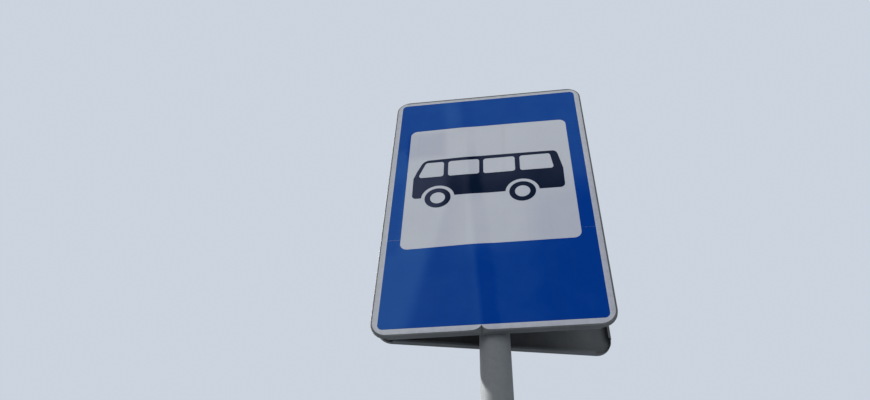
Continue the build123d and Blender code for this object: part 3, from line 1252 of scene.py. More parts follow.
@dataclass(frozen=True)
class ChalkAndSheen:
    """Where a plate's films have chalked, in a veil above and on the left, with painted sheen beside the
    crease and painted shade in its dip.

    The rises and spans are places across the plate, up it, or past its crease.
    """

    side_strip: Pair = (243.0, 256.0)
    veil: float = 0.49
    veil_up: Pair = (-80.0, 150.0)
    # less hazing, so darker, in a patch at the window's upper left
    darker_patch: float = 0.95
    darker_patch_across: Pair = (-150.0, -110.0)
    darker_patch_up: Span = (115.0, 150.0, 270.0, 300.0)
    worn: float = 0.85
    worn_to: float = -125.0
    worn_slant: float = 0.195
    worn_blur: float = 24.0
    worn_top: float = 130.0
    worn_top_fade: float = 65.0
    strip_higher: float = 60.0
    spared: float = 0.39
    spared_up: Span = (-215.0, -185.0, 40.0, 125.0)
    wiped: float = 0.22
    wiped_up: Span = (-230.0, -170.0, -60.0, 40.0)
    wiped_across: Span = (-110.0, -40.0, 60.0, 160.0)
    # painted sheen in lighter bands beside the crease, and painted shade in a darker band in its dip
    before: float = 0.27
    before_edge: Pair = (-6.0, 12.0)
    before_up: Pair = (60.0, 200.0)
    before_weaker: float = 0.63
    before_weaker_up: Pair = (-200.0, 60.0)
    beyond: float = 0.17
    beyond_edge: Pair = (38.0, 55.0)
    beyond_across: Pair = (60.0, 170.0)
    beyond_up: Pair = (150.0, 300.0)
    ridge: float = 0.09
    ridge_place: Pair = (-4.0, 12.0)
    above: float = 0.35
    above_place: Pair = (-28.0, 22.0)
    above_up: Pair = (100.0, 380.0)
    dip_shade: float = 0.8
    dip_shade_past: Span = (6.0, 17.0, 32.0, 47.0)
    dip_shade_less_above: float = 0.85
    dip_shade_less_above_up: Pair = (90.0, 260.0)
    dip_shade_less: float = 0.6
    dip_shade_less_up: Span = (-215.0, -180.0, -40.0, 0.0)

    def share(self, across: Array, up: Array, shape: SheetShape) -> Array:
        """Works out how far the films have chalked, with the painted sheen and shade at the crease.

        Args:
            across: The points' places across the plate.
            up: Their heights from its middle.
            shape: The sheet's shape, for its crease.

        Returns:
            A share for each point, 0 where the film is as new.
        """
        strip = smooth(-across, *self.side_strip)
        corner = (1 - smooth(across, *self.darker_patch_across)) * between(up, *self.darker_patch_up)
        haze = self.veil * smooth(up, *self.veil_up) * (1 - self.darker_patch * corner * (1 - strip))
        left = self.left_side(across, up, strip)
        haze = np.maximum(haze, self.worn * left)
        haze += self.wiped * between(up, *self.wiped_up) * between(across, *self.wiped_across)
        # painted sheen beside the crease and painted shade in its dip
        if shape.creased:
            past = across - shape.crease_x(up)
            haze += self.sheen_beside_crease(across, up, past) + self.sheen_before_crease(up, past) * (1 - left)
            haze *= 1 - self.shade_in_dip(up) * between(past, *self.dip_shade_past)
        return np.clip(haze, 0.0, 1.0)

    def left_side(self, across: Array, up: Array, strip: Array) -> Array:
        """Gives how far the left side has worn, which reaches higher on the side strip but spares it.

        Args:
            across: The points' places across the plate.
            up: Their heights from the plate's middle.
            strip: How far they lie on the side strip.

        Returns:
            A share for each point.
        """
        off_bound = self.worn_to + self.worn_slant * up - across
        top = self.worn_top + self.strip_higher * strip
        low = 1 - smooth(up, top, top + self.worn_top_fade)
        spared = self.spared * strip * between(up, *self.spared_up)
        return smooth(off_bound, -self.worn_blur, self.worn_blur) * low * (1 - spared)

    def sheen_before_crease(self, up: Array, past: Array) -> Array:
        """Gives the painted sheen, a lighter band, on the crease's near side."""
        weaker = 1 - self.before_weaker * smooth(up, *self.before_weaker_up)
        near = (1 - smooth(past, *self.before_edge)) * (1 - smooth(up, *self.before_up))
        return self.before * weaker * near

    def sheen_beside_crease(self, across: Array, up: Array, past: Array) -> Array:
        """Gives the painted sheen on the crease's ridge and on its far side."""
        far = (1 - smooth(across, *self.beyond_across)) * (1 - smooth(up, *self.beyond_up))
        beyond = self.beyond * smooth(past, *self.beyond_edge) * far
        above = self.above * bell(past, *self.above_place) * smooth(up, *self.above_up)
        return beyond + above + self.ridge * bell(past, *self.ridge_place)

    def shade_in_dip(self, up: Array) -> Array:
        """Gives how far the painted shade in the crease's dip holds the hazing back."""
        dip_shade = self.dip_shade * (1 - self.dip_shade_less_above * smooth(up, *self.dip_shade_less_above_up))
        return dip_shade * (1 - self.dip_shade_less * between(up, *self.dip_shade_less_up))


@dataclass(frozen=True)
class FaceLayout:
    """The outlines on a plate's face, in the plate's own frame."""

    width: float = PLATE_WIDTH
    height: float = PLATE_HEIGHT
    corner: float = 43.0
    fold_radius: float = 3.0
    film_inset: float = FILM_INSET
    border: float = 14.5
    lip_gap: float = 0.5
    field_corner: float = 14.0
    window_width: float = 486.0
    window_below_top: float = 147.5
    seam_overrun: float = 3.0
    seam_places: tuple[tuple[int, float, float], ...] = (
        # side, distance below the film's top, gap
        (-1, 177.0, 0.35),
        (1, 177.0, 0.35),
        (-1, 595.4, 0.65),
        (1, 594.0, 0.5),
    )
    pane_top: float = 151.0
    pane_bottom: float = 213.0
    pane_radius: float = 8.5
    wheels: tuple[Pair, ...] = ((-147.9, -299.5), (95.7, -297.1))
    wheel_radius: float = 37.8
    hub_radius: float = 21.7
    arch_gap: float = 10.8
    window_corners: tuple[Corner, ...] = (
        # cut by hand, so a little askew; heights here and below are from the window's top
        Corner(-244.1, -483.0, 21.0),
        Corner(-20.0, -479.0),
        Corner(242.8, -480.3, 21.0),
        Corner(241.6, -1.6, 21.0),
        Corner(-10.0, 0.7),
        Corner(-243.9, -1.6, 21.0),
    )
    body_corners: tuple[Corner, ...] = (
        Corner(-223.2, -296.8, 12.0),
        Corner(-195.0, -296.8, 3.0),
        Corner(-186.0, -293.0, 3.0),
        Corner(216.2, -293.0, 14.0),
        Corner(217.0, -216.5, 20.0),
        Corner(205.6, -153.0, 10.0),
        Corner(199.3, -140.2, 14.0),
        Corner(0.0, -137.3, 60.0),
        Corner(-195.4, -140.0, 28.0),
        Corner(-214.8, -187.5, 30.0),
        Corner(-223.6, -215.0, 20.0),
    )
    pane_ends: tuple[Span, ...] = (
        # upper left, upper right, lower left, lower right
        (-188.6, -133.8, -211.0, -133.8),
        (-120.6, -27.5, -120.6, -27.5),
        (-15.5, 78.5, -15.5, 78.5),
        (92.7, 182.9, 92.7, 191.0),
    )

    @property
    def film_top(self) -> float:
        """Height of the white film's upper edge."""
        return self.height / 2 - self.film_inset

    @property
    def window_top(self) -> float:
        """Height of the window's upper edge."""
        return self.film_top - self.window_below_top

    def fold(self) -> Array:
        """Outline of the flat face, where the folded rim begins, with a point at each lip's end."""
        across, up = self.width / 2 - self.fold_radius, self.height / 2 - self.fold_radius
        straight = self.corner + self.lip_gap
        corners = []
        for x, z in ((1, -1), (1, 1), (-1, 1), (-1, -1)):
            ends = [
                Corner(x * (self.width / 2 - straight), z * up),
                Corner(x * across, z * (self.height / 2 - straight)),
            ]
            if x * z > 0:
                ends.reverse()
            corners += [ends[0], Corner(x * across, z * up, self.corner - self.fold_radius), ends[1]]
        return rounded(corners)

    def white(self, shape: SheetShape, step: Callable[[Array], float]) -> Array:
        """Outline of the white film, drawn up at the kink, where the bared dark steel partly stands in for
        shade.

        Args:
            shape: The sheet's shape, for its kink.
            step: Gives the longest edge near a point.

        Returns:
            The outline's points.
        """
        trim = 2 * self.film_inset
        loop = rounded_rectangle(self.width - trim, self.height - trim, self.corner - self.film_inset)
        loop = divided(loop, step)
        low = loop[:, 1] < -self.height / 2 + self.film_inset + NEAR
        loop[low, 1] += shape.notch(loop[low, 0])
        return loop

    def field(self) -> Array:
        """Outer outline of the blue field."""
        trim = 2 * (self.film_inset + self.border)
        return rounded_rectangle(self.width - trim, self.height - trim, self.field_corner)

    def window(self) -> Array:
        """Outline of the white window."""
        return self.hung(self.window_corners)

    def hung(self, corners: tuple[Corner, ...]) -> Array:
        """Makes an outline whose heights are from the window's top."""
        return rounded([Corner(c.across, self.window_top + c.up, c.radius) for c in corners])

    def seams(self) -> list[Array]:
        """Outlines of the gaps where the blue field's strips nearly meet."""
        loops = []
        inner = self.window_width / 2 - self.seam_overrun
        outer = self.width / 2 - self.film_inset - self.border + self.seam_overrun
        for side, below_top, gap in self.seam_places:
            low = self.film_top - below_top - gap / 2
            high = low + gap
            near, far = sorted((side * inner, side * outer))
            loops.append(np.array([(near, low), (far, low), (far, high), (near, high)]))
        return loops

    def body(self) -> Array:
        """Outline of the bus figure."""
        return self.hung(self.body_corners)

    def panes(self) -> list[Array]:
        """Outlines of the figure's panes."""
        loops = []
        high, low = self.window_top - self.pane_top, self.window_top - self.pane_bottom
        radius = self.pane_radius
        for up_left, up_right, low_left, low_right in self.pane_ends:
            corners = ((low_left, low), (low_right, low), (up_right, high), (up_left, high))
            loops.append(rounded([Corner(x, z, radius) for x, z in corners], step=10.0))
        return loops

    def wheel_circles(self, radius: float) -> list[Array]:
        """Circles of one radius about both wheels."""
        return [circle(x, self.window_top + z, radius) for x, z in self.wheels]


@dataclass
class FaceMap:
    """One net of triangles over a plate's face, which the sheet and every film share."""

    layout: FaceLayout
    shape: SheetShape
    spacing: float = 13.0
    crease_band: float = 15.0
    crease_rows: tuple[float, ...] = (-13.0, -9.0, -6.0, -3.0, 0.0, 3.0, 6.0, 9.0, 13.0)
    crease_spacing: float = 0.7
    kink_reach: float = 60.0
    kink_up: float = 42.0
    kink_spacing: float = 2.6
    kink_margin: float = 3.0
    kink_edges: Pair = (1.5, 3.0)
    long_edge: float = 11.0
    room: float = 3.2
    kink_room: float = 0.9
    points: Array = field(init=False)
    triangles: Array = field(init=False)
    centres: Array = field(init=False)
    ring: list[int] = field(init=False)

    def __post_init__(self) -> None:
        """Lays the outlines and the inner points out and joins them with triangles."""
        layout = self.layout
        self.white_loop = layout.white(self.shape, self.step)
        loops = [divided(layout.fold(), self.step), self.white_loop]
        loops += [divided(loop, self.step) for loop in (layout.field(), layout.window(), layout.body())]
        loops += [divided(loop, self.step) for loop in (*layout.seams(), *layout.panes())]
        for radius in (layout.hub_radius, layout.wheel_radius, layout.wheel_radius + layout.arch_gap):
            loops += layout.wheel_circles(radius)
        extra = self.inner_points(loops)
        self.points, self.triangles, numbers = triangulated(loops, extra)
        self.ring = numbers[0]
        self.centres = self.points[self.triangles].mean(axis=1)

    def step(self, place: Array) -> float:
        """Gives the longest edge near a place, short at the kink.

        Args:
            place: A point of the face.

        Returns:
            The edge's length.
        """
        from_kink = abs(place[0] - self.shape.crease_low)
        low = place[1] < -self.layout.height / 2 + self.kink_up
        if not (self.shape.creased and low and from_kink < self.kink_reach):
            return self.long_edge
        near, far = self.kink_edges
        return near if from_kink < self.kink_reach / 2 else far

    def inner_points(self, loops: list[Array]) -> Array:
        """Makes a grid of points, closer along the crease and at the kink.

        Args:
            loops: The outlines, near which no grid point is kept.

        Returns:
            The points.
        """
        layout, shape = self.layout, self.shape
        bottom, top = -layout.height / 2, layout.height / 2
        across = np.arange(-layout.width / 2, layout.width / 2, self.spacing)
        up = np.arange(bottom, top, self.spacing)
        grid = np.array([(x + (j % 2) * self.spacing / 2, z) for j, z in enumerate(up) for x in across])
        if shape.creased:
            grid = grid[np.abs(grid[:, 0] - shape.crease_x(grid[:, 1])) > self.crease_band]
            along = np.arange(bottom + self.kink_up, top, self.spacing * self.crease_spacing)
            band = [(shape.crease_x(z) + row, z) for z in along for row in self.crease_rows]
            left, right = shape.crease_low - self.kink_reach, shape.crease_low + self.kink_reach
            patch_x = np.arange(left, right, self.kink_spacing)
            patch_z = np.arange(bottom, bottom + self.kink_up, self.kink_spacing)
            patch = [(x, z) for z in patch_z for x in patch_x]
            beside = np.abs(grid[:, 0] - shape.crease_low) > self.kink_reach + self.kink_margin
            above = grid[:, 1] > bottom + self.kink_up + self.kink_margin
            grid = np.vstack((grid[beside | above], np.array(band), np.array(patch)))
        grid = grid[inside(grid, loops[0])]
        room = np.full(len(grid), np.inf)
        for loop in loops:
            for start, end in zip(loop, np.roll(loop, -1, axis=0)):
                run = end - start
                share = np.clip(((grid - start) @ run) / max(run @ run, TINY), 0, 1)
                gap = np.linalg.norm(grid - (start + share[:, None] * run), axis=1)
                room = np.minimum(room, gap)
        in_patch = np.abs(grid[:, 0] - shape.crease_low) < self.kink_reach + self.kink_margin
        in_patch &= grid[:, 1] < bottom + self.kink_up
        return grid[room > np.where(in_patch, self.kink_room, self.room)]

    def within(self, *loops: Array) -> Array:
        """Tells which triangles lie inside any of the outlines."""
        found = np.zeros(len(self.triangles), bool)
        for loop in loops:
            found |= inside(self.centres, loop)
        return found

    def film(self, chosen: Array, inner: float, outer: float) -> tuple[Array, Array, Faces]:
        """Makes a film on the face from some of the triangles.

        Args:
            chosen: Which triangles it covers.
            inner: How far its back lies in front of the sheet.
            outer: How far its front does.

        Returns:
            The film's points, their places on the flat face and its faces.
        """
        triangles = self.triangles[chosen]
        used, numbers = np.unique(triangles, return_inverse=True)
        triangles = numbers.reshape(triangles.shape)
        flat = self.points[used]
        count = len(used)
        moved = self.shape.shift(flat[:, 0], np.zeros(count), flat[:, 1])
        base = standing(flat) + moved
        points = np.vstack((base - (0, outer, 0), base - (0, inner, 0)))
        faces: Faces = [tuple(triangle) for triangle in triangles.tolist()]
        faces += [tuple(count + i for i in reversed(triangle)) for triangle in triangles.tolist()]
        edges = {(a, b) for t in triangles.tolist() for a, b in zip(t, (*t[1:], t[0]))}
        for a, b in sorted(edges):
            if (b, a) not in edges:
                faces.append((a, a + count, b + count, b))
        return points, np.vstack((flat, flat)), faces


@dataclass(frozen=True)
class Hang:
    """How a plate hangs on the post."""

    name: str
    turn: float
    lean: float
    shift: float
    lift: float
    rail_spread: float
    clear_height: float = 2000.0
    standoff: float = 57.5

    @property
    def middle(self) -> float:
        """Height of the plate's middle above the ground."""
        return self.clear_height + PLATE_HEIGHT / 2 + self.lift

    def plate_place(self) -> Matrix:
        """Where the plate's own frame lies."""
        turned = Matrix.Rotation(math.radians(self.turn), 4, "Z")
        set_off = Matrix.Translation((self.shift, -self.standoff, self.middle))
        return turned @ set_off @ Matrix.Rotation(math.radians(self.lean), 4, "Y")

    def clamp_place(self, end: float) -> Matrix:
        """Where the strap at one end sits, square on the post.

        Args:
            end: The strap's place, as a share of the rails' distance.

        Returns:
            The strap's own frame, its X along the plate.
        """
        lean = math.radians(self.lean)
        above = self.rail_spread * end
        along = -(self.shift + above * math.sin(lean)) / math.cos(lean)
        height = above * math.cos(lean) - along * math.sin(lean)
        turned = Matrix.Rotation(math.radians(self.turn), 4, "Z")
        return turned @ Matrix.Translation((0, 0, self.middle + height))


ENDS = {"upper": 0.5, "lower": -0.5}


@dataclass
class TrayNet:
    """The tray's points with their wear, and its faces, to which rows are added."""

    points: list[Array]
    wear: list[Array]
    faces: Faces
    total: int

    def add_row(self, previous: list[int], row: Array, wear: float, loop: bool) -> list[int]:
        """Adds a row of points and joins it to the row before.

        Args:
            previous: The numbers of the row before.
            row: The new row's points.
            wear: How worn they are.
            loop: Whether the row closes on itself.

        Returns:
            The new row's numbers.
        """
        count = len(row)
        current = list(range(self.total, self.total + count))
        self.points.append(row)
        self.wear.append(np.full(count, wear))
        self.total += count
        for i in range(count if loop else count - 1):
            j = (i + 1) % count
            self.faces.append((previous[i], current[i], current[j], previous[j]))
        return current


@dataclass
class SignPlate(Assembly):
    """A folded sheet-steel tray with its films."""

    hang: Hang
    shape: SheetShape
    layout: FaceLayout = field(default_factory=FaceLayout)
    chalk_and_sheen: ChalkAndSheen = field(default_factory=ChalkAndSheen)
    sheet: float = 1.2
    rim_depth: float = 17.0
    fold_bends: Span = (22.5, 45.0, 67.5, 90.0)
    rim_rows: Spot = (5.0, 8.0, 11.0)
    lip_from: float = 13.2
    lip_width: float = 7.0
    lip_taper: float = 5.0
    lip_bend: float = 1.8
    lip_bends: Spot = (30.0, 60.0, 90.0)
    lip_shares: Pair = (0.6, 1.0)
    sharp: float = 40.0
    fold_wear: float = 1.0
    lip_wear: float = 0.8
    rim_wear: float = 0.15
    kink_wear_width: float = 20.0
    kink_wear_height: float = 20.0
    white_thickness: float = 0.4
    colour_thickness: float = 0.3

    def build(self) -> None:
        """Makes the tray and its films."""
        self.face = FaceMap(self.layout, self.shape)
        self.build_tray()
        self.build_films()

    def build_tray(self) -> None:
        """Folds the tray: face, rim, and a lip on each straight edge."""
        layout, face = self.layout, self.face
        flat = face.points
        triangles = [tuple(triangle) for triangle in face.triangles.tolist()]
        net = TrayNet([standing(flat)], [np.zeros(len(flat))], triangles, len(flat))
        ring = flat[face.ring]
        core = np.array((layout.width / 2 - layout.corner, layout.height / 2 - layout.corner))
        outward = ring - np.clip(ring, -core, core)
        outward /= np.linalg.norm(outward, axis=1)[:, None]
        radius = layout.fold_radius
        bends = np.radians(self.fold_bends)
        rows = [(radius * math.sin(bend), radius * (1 - math.cos(bend))) for bend in bends]
        rim = list(face.ring)
        for offset, depth in (*rows, *((radius, depth) for depth in self.rim_rows)):
            wear = self.fold_wear if depth < radius else self.rim_wear
            rim = net.add_row(rim, standing(ring + outward * offset, depth), wear, loop=True)
        for direction in ((0, -1), (1, 0), (0, 1), (-1, 0)):
            self.add_lip(net, np.array(direction, float), ring, outward, rim)
        placed, worn = np.vstack(net.points), np.concatenate(net.wear)
        shifted = placed + self.shape.shift(*placed.T)
        place = self.hang.plate_place()
        tray = make_object(f"{self.hang.name}_tray", shifted, net.faces, place, closed=False)
        if self.shape.creased:
            low = placed[:, 2] < -layout.height / 2 + self.kink_wear_height
            worn = np.maximum(worn, low * bell(placed[:, 0], self.shape.crease_low, self.kink_wear_width))
        carry(tray, Attribute.PLACE, placed * MM)
        carry(tray, Attribute.WEAR, worn)
        wall = tray.modifiers.new("sheet thickness", "SOLIDIFY")
        wall.thickness = self.sheet * MM
        wall.offset = -1
        wall.use_even_offset = True
        settle(tray, self.sharp)
        self.paints.dress(tray, Slot.PLATE_STEEL, f"{self.hang.name}_plate")

    def add_lip(self, net: TrayNet, direction: Array, ring: Array, outward: Array, rim: list[int]) -> None:
        """Adds the deep rim and the lip along one straight edge.

        Args:
            net: The tray so far.
            direction: The way that the edge faces.
            ring: The fold's points.
            outward: The way that each of them faces.
            rim: The numbers of the rim's last points so far.
        """
        along = np.array((-direction[1], direction[0]))
        half = (self.layout.height if direction[0] else self.layout.width) / 2
        limit = half - self.layout.corner - self.layout.lip_gap
        straight = (outward @ direction > ALIGNED) & (np.abs(ring @ along) < limit + NEAR)
        run = np.flatnonzero(straight).tolist()
        run.sort(key=lambda i: ring[i] @ along)
        positions = np.array([ring[i] @ along for i in run])
        fold, bend = self.layout.fold_radius, self.lip_bend
        bent = self.rim_depth - bend
        rows = [(fold, self.lip_from), (fold, bent)]
        for angle in np.radians(self.lip_bends):
            rows.append((fold - bend + bend * math.cos(angle), bent + bend * math.sin(angle)))
        rows += [(fold - self.lip_width * share, self.rim_depth) for share in self.lip_shares]
        previous = [rim[i] for i in run]
        base = ring[run[0]] @ direction
        for offset, depth in rows:
            taper = self.lip_taper * (fold - offset) / self.lip_width
            place = np.outer(positions * (limit - taper) / limit, along) + direction * (base + offset)
            wear = self.lip_wear if depth > bent else self.rim_wear
            previous = net.add_row(previous, standing(place, depth), wear, loop=False)

    def build_films(self) -> None:
        """Lays the white base film, the blue field and the black figure on the face."""
        face, layout = self.face, self.layout
        base, top = self.white_thickness, self.white_thickness + self.colour_thickness
        white = face.within(face.white_loop)
        blue = face.within(layout.field()) & ~face.within(layout.window(), *layout.seams()) & white
        arches = layout.wheel_circles(layout.wheel_radius + layout.arch_gap)
        body = face.within(layout.body()) & ~face.within(*layout.panes(), *arches)
        wheels = face.within(*layout.wheel_circles(layout.wheel_radius))
        wheels &= ~face.within(*layout.wheel_circles(layout.hub_radius))
        films = (
            ("white_sheeting", "white_film", Slot.WHITE_FILM, white, 0.0, base),
            ("blue_sheeting", "blue_film", Slot.BLUE_FILM, blue, base, top),
            ("bus_figure", "figure_body", Slot.BLACK_FILM, body, base, top),
            ("wheel_rings", "figure_wheels", Slot.BLACK_FILM, wheels, base, top),
        )
        side = self.hang.name
        for name, node, slot, chosen, inner, outer in films:
            points, flat, faces = face.film(chosen, inner, outer)
            piece = make_object(f"{side}_{name}", points, faces, self.hang.plate_place(), closed=False)
            carry(piece, Attribute.PLACE, standing(flat) * MM)
            carry(piece, Attribute.HAZE, self.chalk_and_sheen.share(*flat.T, self.shape))
            self.paints.dress(piece, slot, f"{side}_{node}")


# What holds the plates


@dataclass
class Rail(Assembly):
    """C-section rail on a plate's back."""

    hang: Hang
    end: str
    length: float = 520.0
    height: float = 40.0
    depth: float = 18.0
    wall: float = 1.5
    slot: float = 12.0
    slot_edge: float = 0.5
    bend: float = 2.4
    seat: float = 1.2
    rows: int = 14
    sharp: float = 50.0

    def outline(self) -> Array:
        """Outline of the section: height across and depth up, its slot at the greatest depth."""
        half, inner = self.height / 2, self.height / 2 - self.wall
        low, high = self.seat, self.seat + self.depth
        lip, worn = self.slot / 2, self.slot_edge
        small = self.bend - self.wall
        right = [
            Corner(half, low, self.bend),
            Corner(half, high, self.bend),
            Corner(lip, high, worn),
            Corner(lip, high - self.wall, worn),
            Corner(inner, high - self.wall, small),
            Corner(inner, low + self.wall, small),
        ]
        left = [Corner(-corner.across, corner.up, corner.radius) for corner in reversed(right)]
        return rounded([left[-1], *right, *left[:-1]], step=22.5)

    def build(self) -> None:
        """Makes the rail at one end of the plate."""
        section = self.outline()
        middle = self.hang.rail_spread * ENDS[self.end]
        rings = []
        for x in np.linspace(-self.length / 2, self.length / 2, self.rows):
            rings.append(np.column_stack((np.full(len(section), x), section[:, 1], middle + section[:, 0])))
        points, faces = skin(rings)
        name = f"{self.hang.name}_rail_{self.end}"
        rail = make_object(f"{name}_channel", points, faces, self.hang.plate_place(), self.sharp)
        self.paints.dress(rail, Slot.RAIL_STEEL, name)


@dataclass
class Strap(Assembly):
    """Flat steel strap, bent round the post, with an ear on each side."""

    hang: Hang
    end: str
    seat: float = POST_RADIUS + 0.3
    thickness: float = 3.0
    height: float = 30.0
    bend: float = 4.5
    ear_end: float = 70.3
    edge: float = 0.7
    bend_points: int = 7
    round_points: int = 49

    def middle_line(self) -> list[tuple[Vector, Vector]]:
        """Runs along the middle of the strap's thickness.

        Returns:
            Points, each with the way that the strap's outer side faces.
        """
        radius = self.seat + self.thickness / 2
        ear = -self.seat + self.thickness / 2
        line = [(Vector((-self.ear_end, ear)), Vector((0, 1)))]
        centre = Vector((-radius - self.bend, ear + self.bend))
        for angle in np.radians(np.linspace(-90, 0, self.bend_points)):
            out = Vector((math.cos(angle), math.sin(angle)))
            line.append((centre + out * self.bend, -out))
        for angle in np.radians(np.linspace(180, 0, self.round_points)):
            out = Vector((math.cos(angle), math.sin(angle)))
            line.append((out * radius, out))
        left = line[: 1 + self.bend_points]
        mirrored = [(Vector((-p.x, p.y)), Vector((-n.x, n.y))) for p, n in reversed(left)]
        return line + mirrored

    def build(self) -> None:
        """Makes the strap at one end of the plate."""
        line = self.middle_line()
        half = self.thickness / 2
        outer = [point + normal * half for point, normal in line]
        inner = [point - normal * half for point, normal in reversed(line)]
        loop = np.array([tuple(point) for point in (*outer, *inner)])
        points, faces = prism(loop, -self.height / 2, self.height / 2)
        name = f"{self.hang.name}_strap_{self.end}"
        strap = make_object(f"{name}_band", points, faces, self.hang.clamp_place(ENDS[self.end]))
        bevelled(strap, self.edge)
        self.paints.dress(strap, Slot.STRAP_STEEL, name)


@dataclass
class InstanceTree:
    """Geometry Nodes that set a template on every point of a mesh, as its normals say."""

    name: str
    inputs: tuple[tuple[str, str], ...] = (
        ("Places", "Geometry"),
        ("Template", "Object"),
        ("Material", "Material"),
        ("Seed", "Int"),
        ("Most spin", "Float"),
        ("Least size", "Float"),
        ("Most size", "Float"),
    )

    def build(self) -> NodeTree:
        """Builds the tree.

        Returns:
            The tree, whose inputs are named for what they set.
        """
        tree = bpy.data.node_groups.new(self.name, "GeometryNodeTree")
        for label, kind in self.inputs:
            tree.interface.new_socket(name=label, in_out="INPUT", socket_type=f"NodeSocket{kind}")
        tree.interface.new_socket(name="Pieces", in_out="OUTPUT", socket_type="NodeSocketGeometry")
        add = partial(add_node, tree)
        given = add("NodeGroupInput", {}).outputs
        template = add("GeometryNodeObjectInfo", {"Object": given["Template"]})
        align = "FunctionNodeAlignRotationToVector"
        aimed = add(align, {"Vector": self.named(tree, "aim")}, axis="Z").outputs[0]
        feeds = {"Rotation": aimed, "Vector": self.named(tree, "along")}
        turned = add(align, feeds, axis="X", pivot_axis="Z").outputs[0]
        angle = self.random(tree, given["Seed"], 0.0, given["Most spin"])
        spin = add("FunctionNodeAxisAngleToRotation", {"Angle": angle}).outputs[0]
        feeds = {"Rotation": turned, "Rotate By": spin}
        spun = add("FunctionNodeRotateRotation", feeds, rotation_space="LOCAL").outputs[0]
        size = self.random(tree, given["Seed"], given["Least size"], given["Most size"])
        shape = template.outputs["Geometry"]
        feeds = {"Points": given["Places"], "Instance": shape, "Rotation": spun, "Scale": size}
        scatter = add("GeometryNodeInstanceOnPoints", feeds).outputs["Instances"]
        real = add("GeometryNodeRealizeInstances", {"Geometry": scatter}).outputs[0]
        feeds = {"Geometry": real, "Material": given["Material"]}
        painted = add("GeometryNodeSetMaterial", feeds).outputs[0]
        add("NodeGroupOutput", {"Pieces": painted})
        return tree

    def named(self, tree: NodeTree, name: str) -> Socket:
        """Reads a vector that the points carry."""
        kind = "GeometryNodeInputNamedAttribute"
        return add_node(tree, kind, {"Name": name}, data_type="FLOAT_VECTOR").outputs["Attribute"]

    def random(self, tree: NodeTree, seed: Socket, least: object, most: object) -> Socket:
        """Draws a number from least to most for each point."""
        # inputs 2 and 3 and output 1 are the node's plain numbers
        feeds = {2: least, 3: most, "Seed": seed}
        return add_node(tree, "FunctionNodeRandomValue", feeds, data_type="FLOAT").outputs[1]


@dataclass
class Places:
    """Points on which a template is set, each with two directions."""

    points: list[Vector] = field(default_factory=list)
    aims: list[Vector] = field(default_factory=list)
    alongs: list[Vector] = field(default_factory=list)

    def add(self, point: Vector, aim: Vector, along: Vector) -> None:
        """Adds a point, the way its template's Z faces and the way its X faces."""
        self.points.append(point)
        self.aims.append(aim)
        self.alongs.append(along)

    def filled(
        self,
        name: str,
        tree: NodeTree,
        template: Piece,
        material: Material,
        seed: int,
        spin: float = 0.0,
        sizes: Pair = (1.0, 1.0),
    ) -> Piece:
        """Runs the tree on the points and settles the result.

        Args:
            name: The new piece's name.
            tree: The tree that sets the templates.
            template: What is set on each point.
            material: The finish.
            seed: Number that fixes what is random.
            spin: The most that a template is spun about its Z, in radians.
            sizes: The least and the greatest size.

        Returns:
            The settled piece.
        """
        mesh = bpy.data.meshes.new(name)
        mesh.from_pydata([tuple(point * MM) for point in self.points], [], [])
        for label, vectors in (("aim", self.aims), ("along", self.alongs)):
            attribute = mesh.attributes.new(label, "FLOAT_VECTOR", "POINT")
            attribute.data.foreach_set("vector", [x for vector in vectors for x in vector])
        piece = linked(name, mesh)
        modifier = piece.modifiers.new(tree.name, "NODES")
        modifier.node_group = tree
        given = {
            "Template": template,
            "Material": material,
            "Seed": seed,
            "Most spin": spin,
            "Least size": sizes[0],
            "Most size": sizes[1],
        }
        for item in tree.interface.items_tree:
            if item.name in given:
                modifier[item.identifier] = given[item.name]
        return settle(piece)


